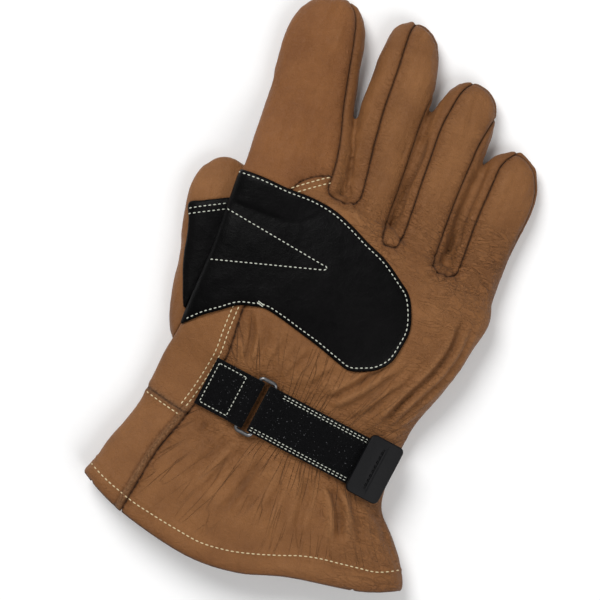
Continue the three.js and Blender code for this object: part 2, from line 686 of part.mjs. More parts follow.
function roundedRectangle(width, height, corners) {
  const shape = new THREE.Shape();
  const x = width / 2;
  const y = height / 2;
  shape.moveTo(-x + corners, -y);
  shape.lineTo(x - corners, -y);
  shape.absarc(x - corners, -y + corners, corners, -Math.PI / 2, 0, false);
  shape.lineTo(x, y - corners);
  shape.absarc(x - corners, y - corners, corners, 0, Math.PI / 2, false);
  shape.lineTo(-x + corners, y);
  shape.absarc(-x + corners, y - corners, corners, Math.PI / 2, Math.PI, false);
  shape.lineTo(-x, -y + corners);
  shape.absarc(-x + corners, -y + corners, corners, Math.PI, 1.5 * Math.PI, false);
  return shape;
}

function bevelled(shape, depth, size) {
  const bevel = { bevelEnabled: true, bevelSize: size, bevelThickness: size, bevelSegments: 1 };
  return new THREE.ExtrudeGeometry(shape, { depth, curveSegments: 2, ...bevel });
}

// A wire frame whose bevels round its section, lying in the plane of the strap
function wireRing() {
  const chamfer = 0.3 * wire.diameter;
  const flat = wire.diameter - 2 * chamfer;
  const length = tape.width + 2 * wire.clearance + 2 * wire.diameter;
  const frame = roundedRectangle(wire.span - 2 * chamfer, length - 2 * chamfer, wire.diameter);
  frame.holes.push(roundedRectangle(
    wire.span - 2 * wire.diameter + 2 * chamfer, length - 2 * wire.diameter + 2 * chamfer, chamfer,
  ));
  const wireFrame = bevelled(frame, flat, chamfer);
  wireFrame.translate(0, 0, -flat / 2);
  wireFrame.rotateX(-Math.PI / 2);
  return layDown(wireFrame.translate(0, barHeight, 0));
}

// The pull tab lies on the end of the strap, in the plane that the strap has there
function pullTab() {
  const edgeRound = 0.7;
  const flat = pull.thickness - 2 * edgeRound;
  const shape = roundedRectangle(pull.width - 2 * edgeRound, pull.length - 2 * edgeRound, pull.corner);
  const opened = 2 * edgeRound;
  shape.holes.push(roundedRectangle(pull.slotWidth + opened, pull.slotLength + opened, pull.slotWidth / 2));
  const plate = bevelled(shape, flat, edgeRound);
  const seat = strap.topLength - pull.overlap / 2;
  const onEdge = (s, side) => {
    const spot = strapPlace(s, (side * tape.width) / 2);
    return new THREE.Vector3(spot.x, spot.y, topAt(spot.x, spot.y));
  };
  const across = onEdge(seat, 1).sub(onEdge(seat, -1)).normalize();
  const ahead = onEdge(seat + 1, 1).add(onEdge(seat + 1, -1)).multiplyScalar(0.5);
  const spot = onEdge(seat, 1).add(onEdge(seat, -1)).multiplyScalar(0.5);
  const up = ahead.sub(spot).cross(across).normalize();
  const along = across.clone().cross(up);
  plate.translate(pull.width / 2 - pull.overlap / 2, 0, edgeRound + layer + tape.thickness + 2 * seamGap);
  plate.applyMatrix4(new THREE.Matrix4().makeBasis(along, across, up));
  return plate.translate(spot.x, spot.y, spot.z);
}

pieces.strap_tab = solid(strapTab());
pieces.closure_strap = solid(closureStrap());
pieces.strap_ring = solid(wireRing());
pieces.pull_tab = solid(pullTab());

const finishes = {
  tan: { color: '#87603c', roughness: 0.6, metalness: 0 },
  black: { color: '#0b0b0d', roughness: 0.42, metalness: 0 },
  tape: { color: '#0c0c0e', roughness: 0.95, metalness: 0 },
  steel: { color: '#8d9094', roughness: 0.35, metalness: 1 },
  plastic: { color: '#18181b', roughness: 0.4, metalness: 0 },
};
const finishOf = {
  back_patch: 'black', palm_patch: 'black', thumb_patch: 'black', strap_tab: 'tape', closure_strap: 'tape',
  strap_ring: 'steel', pull_tab: 'plastic',
};

// The origin is on the table, under the middle of the glove
const box = new THREE.Box3();
for (const body of Object.values(pieces)) {
  box.union(new THREE.Box3().setFromBufferAttribute(toGeometry(body).attributes.position));
}
const origin = box.getCenter(new THREE.Vector3()).setZ(box.min.z);

const glove = new THREE.Group();
for (const [name, body] of Object.entries(pieces)) {
  const placed = toGeometry(body).translate(-origin.x, -origin.y, -origin.z);
  placed.deleteAttribute('normal');
  const whole = largest(solid(mergeVertices(placed, finest)));
  const finish = new THREE.MeshStandardMaterial(finishes[finishOf[name] ?? 'tan']);
  const mesh = new THREE.Mesh(toGeometry(whole), finish);
  mesh.name = name;
  glove.add(mesh);
}

export default glove;
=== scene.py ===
import math
import bpy
import bmesh
import numpy as np
from mathutils import Vector, Matrix, kdtree, noise
from mathutils.bvhtree import BVHTree


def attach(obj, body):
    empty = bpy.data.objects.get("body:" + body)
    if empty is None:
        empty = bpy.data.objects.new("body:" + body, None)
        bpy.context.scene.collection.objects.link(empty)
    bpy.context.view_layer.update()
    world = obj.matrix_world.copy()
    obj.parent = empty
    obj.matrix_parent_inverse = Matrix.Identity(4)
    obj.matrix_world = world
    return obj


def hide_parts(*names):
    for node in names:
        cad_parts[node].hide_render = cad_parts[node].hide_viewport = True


# A leather rope glove lying palm down. +Y to the fingertips, +X to the little finger, +Z up, in metres.
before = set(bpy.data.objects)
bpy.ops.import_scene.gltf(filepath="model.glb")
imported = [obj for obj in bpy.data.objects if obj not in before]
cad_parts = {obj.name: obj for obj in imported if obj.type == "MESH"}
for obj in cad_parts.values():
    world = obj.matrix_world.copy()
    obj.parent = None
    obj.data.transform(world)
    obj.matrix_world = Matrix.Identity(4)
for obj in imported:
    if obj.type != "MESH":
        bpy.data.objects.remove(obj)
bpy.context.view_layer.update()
mm = 0.001
toGlove = Vector((0.14, -64.0, 0.0)) * mm   # from the strap's middle line to the middle of the glove
print("frame loaded")

leather = {"wall": 1.8 * mm, "patch": 1.2 * mm, "gap": 0.3 * mm, "voxel": 1.0 * mm, "quickVoxel": 1.8 * mm}
voxel = leather["voxel"]

# Sizes of the hand and the fingers, and the tables of shares that the CAD solids follow too
hand = {"palmWidth": 136, "wristWidth": 124, "cuffWidth": 163, "handLength": 105, "cuffLength": 75,
        "handHeight": 30, "wristHeight": 22, "cuffHeight": 27, "palmRest": 1.5, "palmLeft": -59.4,
        "liftShare": 0.36, "liftHeight": 16.3, "slantMiddle": 0.065, "knuckleRise": 3, "knuckleFall": 0.077}
oval = {"squareness": 2.5, "flat": 0.88, "side": 0.42}
cuffRows = [
    {"up": -1.04, "left": -0.525, "right": 0.515, "top": 1.00},
    {"up": -0.80, "left": -0.509, "right": 0.503, "top": 1.00},
    {"up": -0.62, "left": -0.483, "right": 0.477, "top": 1.00},
    {"up": -0.46, "left": -0.463, "right": 0.425, "top": 0.95},
]
wristRows = [
    {"up": -0.32, "left": -0.576, "right": 0.483, "top": 1.10},
    {"up": -0.19, "left": -0.550, "right": 0.465, "top": 1.03},
    {"up": 0.00, "left": -0.536, "right": 0.465, "top": 1.00},
    {"up": 0.13, "left": -0.524, "right": 0.478, "top": 1.04, "rest": 0.5, "lift": 0.12},
]
palmRows = [
    {"up": 0.23, "left": -0.461, "right": 0.450, "top": 0.87, "rest": 1, "lift": 0.34},
    {"up": 0.36, "left": -0.449, "right": 0.491, "top": 0.95, "rest": 1, "lift": 0.64},
    {"up": 0.51, "left": -0.437, "right": 0.524, "top": 1.00, "rest": 1, "lift": 0.90, "slant": -0.03},
    {"up": 0.67, "left": -0.434, "right": 0.545, "top": 1.00, "rest": 1, "lift": 1.00, "slant": -0.10},
    {"up": 0.82, "left": -0.436, "right": 0.562, "top": 0.96, "rest": 1, "lift": 1.00, "slant": -0.19},
    {"up": 0.93, "left": -0.434, "right": 0.566, "top": 0.89, "rest": 1, "lift": 0.97, "slant": -0.25},
    {"up": 1.00, "left": -0.424, "right": 0.550, "top": 0.80, "rest": 2, "lift": 0.90, "slant": -0.27},
    {"up": 1.03, "left": -0.400, "right": 0.520, "top": 0.60, "rest": 3.5, "lift": 0.60, "slant": -0.27},
]
# Each row of a finger: along its length, left, right, top and rest as shares of its width and height
fingers = [
    {"name": "index", "length": 94, "width": 48, "height": 18, "rows": [
        (-0.16, -0.49, 0.44, 1.56, 1.00), (-0.02, -0.50, 0.47, 1.60, 0.96), (0.08, -0.50, 0.49, 1.53, 0.76),
        (0.18, -0.505, 0.49, 1.37, 0.46), (0.33, -0.515, 0.435, 1.14, 0.16), (0.48, -0.53, 0.35, 1.03, 0),
        (0.63, -0.56, 0.29, 1.00, 0), (0.77, -0.575, 0.23, 0.97, 0), (0.88, -0.52, 0.17, 0.88, 0.01),
        (0.95, -0.41, 0.10, 0.76, 0.07), (0.985, -0.27, 0.02, 0.64, 0.17), (1.00, -0.17, -0.07, 0.52, 0.29)]},
    {"name": "middle", "length": 98, "width": 28, "height": 19.5, "rows": [
        (-0.22, -0.42, 0.46, 1.20, 0.14), (-0.02, -0.45, 0.48, 1.17, 0.08), (0.16, -0.48, 0.48, 1.08, 0),
        (0.30, -0.59, 0.48, 1.02, 0), (0.44, -0.65, 0.47, 1.00, 0), (0.57, -0.69, 0.455, 1.00, 0),
        (0.72, -0.67, 0.42, 0.98, 0), (0.85, -0.65, 0.33, 0.90, 0.01), (0.93, -0.60, 0.21, 0.79, 0.06),
        (0.975, -0.50, 0.06, 0.66, 0.16), (1.00, -0.36, -0.10, 0.54, 0.28)]},
    {"name": "ring", "length": 83, "width": 30.5, "height": 19, "rows": [
        (-0.25, -0.45, 0.45, 1.20, 0.12), (-0.02, -0.47, 0.46, 1.15, 0.06), (0.17, -0.485, 0.47, 1.05, 0),
        (0.35, -0.50, 0.475, 1.00, 0), (0.52, -0.515, 0.51, 1.00, 0), (0.68, -0.53, 0.53, 0.99, 0),
        (0.80, -0.46, 0.51, 0.94, 0), (0.89, -0.39, 0.46, 0.84, 0.03), (0.95, -0.29, 0.36, 0.73, 0.10),
        (0.985, -0.17, 0.22, 0.63, 0.19), (1.00, -0.06, 0.09, 0.53, 0.29)]},
    {"name": "little", "length": 61, "width": 29.5, "height": 16.5, "rows": [
        (-0.36, -0.46, 0.44, 1.22, 0.14), (-0.02, -0.48, 0.46, 1.15, 0.06), (0.18, -0.49, 0.47, 1.06, 0),
        (0.36, -0.50, 0.51, 1.00, 0), (0.54, -0.49, 0.56, 1.00, 0), (0.70, -0.455, 0.56, 0.97, 0),
        (0.83, -0.41, 0.49, 0.88, 0.02), (0.92, -0.28, 0.38, 0.76, 0.08), (0.975, -0.12, 0.22, 0.64, 0.18),
        (1.00, -0.01, 0.09, 0.53, 0.29)]},
]
thumb = {"name": "thumb", "length": 99, "width": 34, "height": 17, "x": -62, "y": 12.6, "rows": [
    (0.00, 0.14, 0.46, 0.86, 0.14), (0.10, -0.10, 0.52, 0.98, 0.02), (0.22, -0.24, 0.57, 1.00, 0),
    (0.36, -0.32, 0.58, 1.00, 0), (0.50, -0.38, 0.56, 1.00, 0), (0.65, -0.50, 0.49, 1.00, 0),
    (0.79, -0.555, 0.45, 0.98, 0), (0.90, -0.50, 0.37, 0.88, 0.02), (0.965, -0.38, 0.22, 0.74, 0.09),
    (0.99, -0.27, 0.06, 0.63, 0.19), (1.00, -0.18, -0.04, 0.53, 0.29)]}


def upFrom(share):
    return share * (hand["cuffLength"] if share < 0 else hand["handLength"])


def zoneRows(rows, width, height):
    return [{"y": upFrom(r["up"]), "left": r["left"] * width, "right": r["right"] * width,
             "top": r["top"] * height, "rest": r.get("rest", 0) * hand["palmRest"],
             "lift": r.get("lift", 0), "slant": r.get("slant", 0)} for r in rows]


def fingerRows(part):
    return [{"y": part["y"] + along * part["length"], "left": part["x"] + left * part["width"],
             "right": part["x"] + right * part["width"], "top": top * part["height"],
             "rest": rest * part["height"], "lift": 0, "slant": 0}
            for along, left, right, top, rest in part["rows"]]


handRows = (zoneRows(cuffRows, hand["cuffWidth"], hand["cuffHeight"])
            + zoneRows(wristRows, hand["wristWidth"], hand["wristHeight"])
            + zoneRows(palmRows, hand["palmWidth"], hand["handHeight"]))
edge = hand["palmLeft"]
for finger in fingers:
    finger["x"] = edge + finger["width"] / 2
    fromIndex = finger["x"] - fingers[0]["x"]
    finger["y"] = hand["handLength"] + hand["knuckleRise"] - hand["knuckleFall"] * fromIndex
    edge += finger["width"]
    finger["table"] = fingerRows(finger)
thumb["table"] = fingerRows(thumb)


# A smooth curve through a column of a table
def curveThrough(values, share):
    place = share * (len(values) - 1)
    i = min(int(place), len(values) - 2)
    t = place - i
    a, b, c, d = values[max(i - 1, 0)], values[i], values[i + 1], values[min(i + 2, len(values) - 1)]
    v0, v1 = (c - a) / 2, (d - b) / 2
    return (2 * b - 2 * c + v0 + v1) * t ** 3 + (3 * c - 3 * b - 2 * v0 - v1) * t ** 2 + v0 * t + b


# A row in between: rest and lift run straight from row to row
def rowAt(rows, share):
    smooth = ("y", "left", "right", "top", "slant")
    row = {name: curveThrough([r[name] for r in rows], share) for name in smooth}
    place = share * (len(rows) - 1)
    i = min(int(place), len(rows) - 2)
    for name in ("rest", "lift"):
        row[name] = rows[i][name] + (rows[i + 1][name] - rows[i][name]) * (place - i)
    return row


# 1 at the thumb side, 0 from a share of 1 on
def fade(share):
    rest = min(max(1 - share, 0), 1)
    return rest * rest * (3 - 2 * rest)


def power(value, exponent):
    return math.copysign(abs(value) ** exponent, value)


# A point of a section: a squared oval, flattened underneath, raised at the thumb side by its lift
def sectionPoint(row, angle):
    across = power(math.cos(angle), 2 / oval["squareness"])
    up = power(math.sin(angle), 2 / oval["squareness"])
    share = (across + 1) / 2
    x = row["left"] + (row["right"] - row["left"]) * share
    rest = row["rest"] + row["lift"] * hand["liftHeight"] * fade(share / hand["liftShare"])
    side = rest + oval["side"] * (row["top"] - rest)
    y = row["y"] + row["slant"] * (x - hand["slantMiddle"] * hand["palmWidth"])
    z = side + (row["top"] - side) * up if up > 0 else side + (side - rest) * max(up / oval["flat"], -1)
    return Vector((x, y, z)) * mm + toGlove


# A closed tube through a table of sections, shaped from a grid rolled up round +Y
def loft(bm, rows, around, along):
    made = bmesh.ops.create_grid(bm, x_segments=around, y_segments=along, size=0.5)["verts"]
    table = {}
    for v in made:
        share = min(max(round(v.co.y + 0.5, 5), 0), 1)
        if share not in table:
            table[share] = rowAt(rows, share)
        v.co = sectionPoint(table[share], (v.co.x + 0.5) * 2 * math.pi)
    bmesh.ops.remove_doubles(bm, verts=made, dist=1e-6)
    rims = [e for e in bm.edges if e.is_boundary]
    bmesh.ops.holes_fill(bm, edges=rims, sides=0)


def newObject(name, mesh):
    made = bpy.data.objects.new(name, mesh)
    bpy.context.collection.objects.link(made)
    return made


def meshFrom(bm, name):
    mesh = bpy.data.meshes.new(name)
    bm.to_mesh(mesh)
    bm.free()
    return mesh


# One skin over several tubes: voxels join them, and a few rounds of smoothing take the steps off
def remeshed(bm, name, size, rounds):
    bmesh.ops.recalc_face_normals(bm, faces=bm.faces)
    rough = newObject(name, meshFrom(bm, name))
    voxels = rough.modifiers.new("voxels", "REMESH")
    voxels.mode = "VOXEL"
    voxels.voxel_size = size
    smooth = rough.modifiers.new("smooth", "SMOOTH")
    smooth.factor = 0.5
    smooth.iterations = rounds
    depsgraph = bpy.context.evaluated_depsgraph_get()
    mesh = bpy.data.meshes.new_from_object(rough.evaluated_get(depsgraph))
    bpy.data.objects.remove(rough)
    skin = bmesh.new()
    skin.from_mesh(mesh)
    bpy.data.meshes.remove(mesh)
    bmesh.ops.triangulate(skin, faces=skin.faces)
    return skin


# How finely the tubes are laid, and the webs that close the gap between two fingers at its foot
tubes = {"handRound": 96, "handAlong": 150, "fingerRound": 48, "fingerAlong": 80, "smoothing": 5}
webs = [{"at": (-11.7, 53.0, 15.0), "size": (9, 13, 9)}, {"at": (46.6, 35.5, 9.5), "size": (8, 10, 9)}]
handTubes = bmesh.new()
loft(handTubes, handRows, tubes["handRound"], tubes["handAlong"])
for finger in fingers:
    loft(handTubes, finger["table"], tubes["fingerRound"], tubes["fingerAlong"])
for web in webs:
    place = Matrix.Translation(Vector(web["at"]) * mm) @ Matrix.Diagonal((*(s * mm for s in web["size"]), 1))
    bmesh.ops.create_uvsphere(handTubes, u_segments=24, v_segments=12, radius=0.5, matrix=place)
handSkin = remeshed(handTubes, "handSkin", voxel, tubes["smoothing"])
thumbTube = bmesh.new()
loft(thumbTube, thumb["table"], tubes["fingerRound"], tubes["fingerAlong"])
thumbSkin = remeshed(thumbTube, "thumbSkin", voxel, tubes["smoothing"])
print("skins", len(handSkin.verts), len(thumbSkin.verts))


# Plan outlines, in millimetres from the middle of the glove
shift = np.array((toGlove.x, toGlove.y)) / mm


# For each point: distance to the line, share of the line's length there, and side (1 left of it, -1 right)
def nearLine(spots, line):
    best = np.full(len(spots), 1e9)
    along = np.zeros(len(spots))
    side = np.zeros(len(spots))
    walked = 0.0
    points = np.array(line, float)
    for a, b in zip(points[:-1], points[1:]):
        step = b - a
        length = max(np.hypot(step[0], step[1]), 1e-6)
        off = spots[:, :2] - a
        t = np.clip(off @ step / length ** 2, 0, 1)
        gone = off - t[:, None] * step
        d = np.hypot(gone[:, 0], gone[:, 1])
        nearer = d < best
        best[nearer] = d[nearer]
        along[nearer] = walked + t[nearer] * length
        side[nearer] = np.sign(off[nearer] @ np.array((-step[1], step[0])))
        walked += length
    return best, along / walked, side


# Distance to an outline, positive inside it
def insideOutline(spots, outline):
    closed = [tuple(p) for p in outline] + [tuple(outline[0])]
    distance = nearLine(spots, closed)[0]
    inside = np.zeros(len(spots), bool)
    x, y = spots[:, 0], spots[:, 1]
    for (ax, ay), (bx, by) in zip(closed, closed[1:]):
        if ay != by:
            inside ^= ((ay > y) != (by > y)) & (x < ax + (y - ay) * (bx - ax) / (by - ay))
    return np.where(inside, distance, -distance)


def smoothLine(points, closed=False, steps=6):
    pts = np.array(points, float)
    n = len(pts)
    made = []
    for i in range(n if closed else n - 1):
        around = (i - 1, i, i + 1, i + 2)
        a, b, c, d = (pts[k % n] if closed else pts[min(max(k, 0), n - 1)] for k in around)
        for k in range(steps):
            t = k / steps
            made.append(b + (c - a) * t / 2 + (2 * a - 5 * b + 4 * c - d) * t * t / 2
                        + (3 * b - 3 * c + d - a) * t ** 3 / 2)
    if not closed:
        made.append(pts[-1])
    return made


# A line along one side of a finger, inset by a share of its width, less by the slip near the tip
def edgeLine(finger, side, inset, slip=0.0):
    line = []
    for i in range(13):
        share = 0.2 + 0.8 * i / 12
        row = rowAt(finger["table"], share)
        drawn = (inset - slip * min(max((share - 0.5) / 0.2, 0), 1)) * (row["right"] - row["left"])
        x = row["right"] - drawn if side == "right" else row["left"] + drawn
        line.append(np.array((x, row["y"])) + shift)
    return line


# Corners cut off again and again, so that a seam runs round them
def rounded(points, times=3):
    for _ in range(times):
        following = points[1:] + points[:1]
        points = [p for a, b in zip(points, following) for p in (a * 0.75 + b * 0.25, a * 0.25 + b * 0.75)]
    return points


# Points that round the foot of a strip between fingers: rise above the foot, and share of the strip's width
forkFoot = [(0.7, 0.8), (4.0, 1.0), (8.0, 1.0)]


def forkOutline(near, farther, fork):
    up = edgeLine(near, "right", fork["near"], fork["slip"])
    down = edgeLine(farther, "left", fork["far"])
    top = max(up[-1][1], down[-1][1]) + 7
    knuckle = (near["y"] + farther["y"]) / 2 + shift[1]
    foot = np.array(((up[0][0] + down[0][0]) / 2, knuckle - fork["foot"] * hand["handLength"]))

    def footTurn(point):
        return [np.array((foot[0] + out * (point[0] - foot[0]), foot[1] + rise)) for rise, out in forkFoot]

    return rounded([foot] + footTurn(down[0]) + [p for p in down if p[1] > foot[1] + 12]
                   + [np.array((down[-1][0], top)), np.array((up[-1][0], top))]
                   + [p for p in up if p[1] > foot[1] + 12][::-1] + footTurn(up[0])[::-1])


forks = [
    {"name": "fourchette_index_middle", "near": 0.12, "far": 0.34, "foot": -0.03, "slip": 0.0},
    {"name": "fourchette_middle_ring", "near": 0.05, "far": 0.22, "foot": 0.066, "slip": 0.12},
    {"name": "fourchette_ring_little", "near": 0.14, "far": 0.24, "foot": 0.078, "slip": 0.20},
]
slits = []
for i in range(3):
    facing = zip(edgeLine(fingers[i], "right", 0), edgeLine(fingers[i + 1], "left", 0))
    slits.append([(a + b) / 2 for a, b in facing if (a[1] + b[1]) / 2 > hand["handLength"] + 8 + shift[1]])

# Seams: the rim, the back's thumb-side seam up to the foot of the index finger, and the one across the wrist
rimShares = [(-0.56, 0.66), (-0.50, 0.73), (-0.36, 0.87), (-0.14, 0.99), (0.02, 0.985), (0.17, 0.90),
             (0.38, 0.835), (0.50, 0.75), (0.56, 0.70)]
rimLine = smoothLine([(across * hand["cuffWidth"] + shift[0], -down * hand["cuffLength"] + shift[1])
                      for across, down in rimShares])
backSeamShares = [(-0.450, -1.10), (-0.385, -0.46), (-0.335, -0.20), (-0.290, 0.04), (-0.262, 0.20),
                  (-0.266, 0.45), (-0.255, 0.84), (-0.245, 1.02), (-0.195, 1.10), (-0.115, 1.145)]
backSeam = smoothLine([(across * hand["palmWidth"] + shift[0], upFrom(up) + shift[1])
                       for across, up in backSeamShares])
far = 300.0
tipY = 180.0
backOutline = (backSeam + slits[0]
               + [(slits[0][-1][0], tipY), (far, tipY), (far, -far), (backSeam[0][0], -far)])
crossLine = [(-far, -68.9), (-66, -69.8), (-46.1, -74.7), (far, -74.7)]
seamHeight = {"back": 10, "lifted": 18}


def frontOutline(number):
    left, right = slits[number - 1], slits[number]
    foot = (left[0][1] + right[0][1]) / 2 - 6
    return ([(left[0][0], foot), (right[0][0], foot - 2)] + right
            + [(right[-1][0], tipY), (left[-1][0], tipY)] + left[::-1])


def backField(spots):
    plan = insideOutline(spots, backOutline)
    lifted = np.minimum(shift[0] - spots[:, 0], hand["handLength"] + shift[1] - spots[:, 1])
    raised = np.maximum(-lifted, spots[:, 2] - seamHeight["lifted"])
    return np.minimum(np.minimum(plan, spots[:, 2] - seamHeight["back"]), raised)


def frontField(number):
    outline = frontOutline(number)
    return lambda spots: np.minimum(insideOutline(spots, outline), seamHeight["back"] - spots[:, 2])


def forkField(number):
    outline = forkOutline(fingers[number], fingers[number + 1], forks[number])
    return lambda spots: insideOutline(spots, outline)


def belowLine(line):
    heights = np.array(line, float)
    return lambda spots: np.interp(spots[:, 0], heights[:, 0], heights[:, 1]) - spots[:, 1]


rimField = belowLine([(-far, rimLine[0][1] + 8)] + [tuple(p) for p in rimLine] + [(far, rimLine[-1][1] + 8)])
cuts = [("rim", rimField)] + [(forks[i]["name"], forkField(i)) for i in range(3)] + [
    ("back_panel", backField), ("middle_front", frontField(1)), ("ring_front", frontField(2)),
    ("cuff_panel", belowLine(crossLine))]


# Points and corners of a skin as arrays, in millimetres
def readSkin(bm):
    bm.verts.index_update()
    spots = np.array([v.co for v in bm.verts]) / mm
    corners = np.array([[v.index for v in f.verts] for f in bm.faces])
    return spots, corners


def outward(spots, corners):
    a, b, c = (spots[corners[:, k]] for k in range(3))
    faceNormals = np.cross(b - a, c - a)
    total = np.zeros_like(spots)
    for k in range(3):
        for axis in range(3):
            total[:, axis] += np.bincount(corners[:, k], faceNormals[:, axis], len(spots))
    return total / np.maximum(np.linalg.norm(total, axis=1, keepdims=True), 1e-9)


# Cuts a region out of what is left: points beside the line move onto it, faces inside get its label
def cutAlong(spots, corners, labels, code, field, fixed):
    left = labels == 0
    tri = corners[left]
    edges = np.unique(np.sort(np.vstack((tri[:, :2], tri[:, 1:], tri[:, ::2])), axis=1), axis=0)
    f = field(spots)
    a, b = edges[f[edges[:, 0]] * f[edges[:, 1]] < 0].T
    t = f[a] / (f[a] - f[b])
    onLine = spots[a] + (spots[b] - spots[a]) * t[:, None]
    who = np.where(np.where(fixed[a] == fixed[b], t < 0.5, fixed[b]), a, b)
    count = np.bincount(who, minlength=len(spots))
    moved = count > 0
    for axis in range(3):
        total = np.bincount(who, onLine[:, axis], len(spots))
        spots[moved, axis] = total[moved] / count[moved]
    f[moved] = 0
    fixed |= moved
    labels[left & (f[corners].sum(axis=1) > 0)] = code


def smoothStep(low, high, values):
    t = np.clip((values - low) / (high - low), 0, 1)
    return t * t * (3 - 2 * t)


def hump(values, width):
    return np.exp(-(values / width) ** 2)


# Fractal noise at each point, drawn out by a scale for each axis
def noiseOver(spots, scales, octaves=3, seed=0.0):
    offset = Vector((seed, seed * 0.7, seed * 1.3))
    scaled = spots / np.array(scales)
    return np.array([noise.fractal(Vector(p) + offset, 0.9, 2.0, octaves) for p in scaled])


base, corners = readSkin(handSkin)
labels = np.zeros(len(corners), int)
fixed = np.zeros(len(base), bool)
codes = {"palm_panel": 0}
for name, field in cuts:
    codes[name] = len(codes) if name != "rim" else -1
    cutAlong(base, corners, labels, codes[name], field, fixed)
normals = outward(base, corners)
print("panels", {name: int((labels == code).sum()) for name, code in codes.items()})


# How far each point is from the nearest seam, in millimetres
def seamDistance(spots, corners, labels):
    seen = np.full(len(spots), -9)
    onSeam = np.zeros(len(spots), bool)
    for k in range(3):
        for code in np.unique(labels):
            touched = np.zeros(len(spots), bool)
            touched[corners[labels == code, k]] = True
            onSeam |= touched & (seen != -9) & (seen != code)
            seen[touched & (seen == -9)] = code
    places = spots[onSeam]
    tree = kdtree.KDTree(len(places))
    for i, p in enumerate(places):
        tree.insert(p, i)
    tree.balance()
    return np.array([tree.find(p)[2] for p in spots])


seams = seamDistance(base, corners, labels)

backPatch = {"foot": 18.6, "edgeDrop": 0.55, "outline": [
    (-66, 43.6), (-61, 43.6), (-48, 43.4), (-35, 42.3), (-22, 42), (-11, 40), (-1, 36), (9, 31), (20, 26),
    (30, 19), (36, 14), (40, 6), (42, -2), (41, -10), (39, -18), (34, -24), (28, -27), (21, -29), (14, -27),
    (3, -23), (-7, -20), (-17, -17), (-26, -15), (-32, -16), (-39, -18), (-46, -23), (-53, -28),
    (-60, -34.5), (-66, -39), (-67, -25), (-67, 0), (-67, 30), (-67, 40)]}
palmPatch = {"top": 9, "edgeDrop": 0.5, "outline": [
    (-24, 36), (3, 35), (27, 28), (49, 20), (63, 13), (65, 1), (54, -8), (34, -18), (11, -26), (-11, -28),
    (-27, -20), (-33, 1), (-31, 24)]}
backPatchLine = smoothLine(backPatch["outline"], closed=True)
palmPatchLine = smoothLine(palmPatch["outline"], closed=True)

# The strap's own frame: s along it, t across it
strap = {"x": -14.5 + shift[0], "y": 3.5 + shift[1], "turn": math.radians(-8), "width": 25, "tape": 1.5,
         "seat": 0.6, "topLength": 60, "underLength": 66, "tabLength": 23, "wire": 2.0, "span": 10,
         "play": 0.3}


def strapPlace(s, t):
    c, d = math.cos(strap["turn"]), math.sin(strap["turn"])
    return strap["x"] + s * c - t * d, strap["y"] + s * d + t * c


def offStrap(spots):
    c, d = math.cos(strap["turn"]), math.sin(strap["turn"])
    return (spots[:, 1] - strap["y"]) * c - (spots[:, 0] - strap["x"]) * d


# Folds of the back: width and depth of the valley, height of its banks, and its line, in millimetres
backFolds = [
    (1.7, 2.1, 0.7, [(44, -52), (52.3, -32), (60.4, -16.3), (64.6, -1.1), (64.7, 19.5)]),
    (1.4, 1.3, 0.6, [(49, -51), (57, -33), (65.5, -16), (69.5, 2), (69, 16)]),
    (1.6, 1.7, 0.7, [(16, -47), (27.7, -34), (34, -24.9), (41, -17)]),
    (1.7, 0.9, 0.6, [(25, -49), (33, -39), (42, -27), (49, -18)]),
    (1.5, 0.9, 0.6, [(6, -45), (11, -37), (17, -30)]),
    (1.5, 0.9, 0.6, [(-5, -44), (-2, -35), (3, -25)]),
    (1.4, 0.8, 0.6, [(-14, -43), (-13, -33), (-10, -22)]),
    (1.6, 0.8, 0.6, [(34, -51), (43, -36), (52, -22), (56, -8)]),
    (1.3, 1.5, 0.7, [(-25.6, -42), (-27.8, -28.1), (-32.8, -17.2)]),
    (1.3, 0.7, 0.6, [(-21, -42), (-20.5, -31), (-22, -20)]),
    (1.9, 2.3, 0.8, [(30.3, -82), (39.2, -92.4), (44.8, -109)]),
    (1.9, 1.2, 0.7, [(20.8, -82), (22.6, -98.5), (24, -113)]),
    (1.8, 1.0, 0.6, [(53.5, -86.2), (62, -94), (68, -104)]),
    (1.8, 0.9, 0.6, [(42, -85), (50, -95), (57, -108)]),
    (1.8, 0.9, 0.6, [(11, -81), (9, -96), (6, -116)]),
    (1.9, 1.1, 0.7, [(0, -79), (-6, -94), (-13, -117)]),
    (1.8, 1.0, 0.7, [(-11, -78), (-18, -91), (-27, -112)]),
    (1.6, 0.9, 0.6, [(-20, -76), (-27, -88), (-36, -106)]),
    (1.5, 0.9, 0.6, [(-9, 45), (-3, 39), (2, 34.5)]),
    (1.3, 0.6, 0.6, [(19, 32), (24, 27), (31, 22)]),
    (2.2, 0.9, 0.6, [(-48, -80), (-56, -95), (-64, -112)]),
    (2.0, 0.5, 0.6, [(-57, -72), (-64, -86), (-70, -104)]),
    (0.9, 1.2, 0.1, [(-14, 78), (-13, 72), (-10, 60), (-9, 54), (-5, 49)]),
    (0.9, 1.8, 0.1, [(18.5, 92), (19, 76), (18, 61), (18.5, 50), (17, 44), (19, 40)]),
    (1.0, 1.4, 0.1, [(51, 88), (49.5, 69), (49, 55), (50, 48), (49, 42), (53, 36)]),
    (1.2, 1.2, 0.6, [(-38, -58), (-31, -68), (-28, -80)]),
    (1.2, 1.0, 0.6, [(-40, -62), (-35, -72), (-35, -84)]),
]

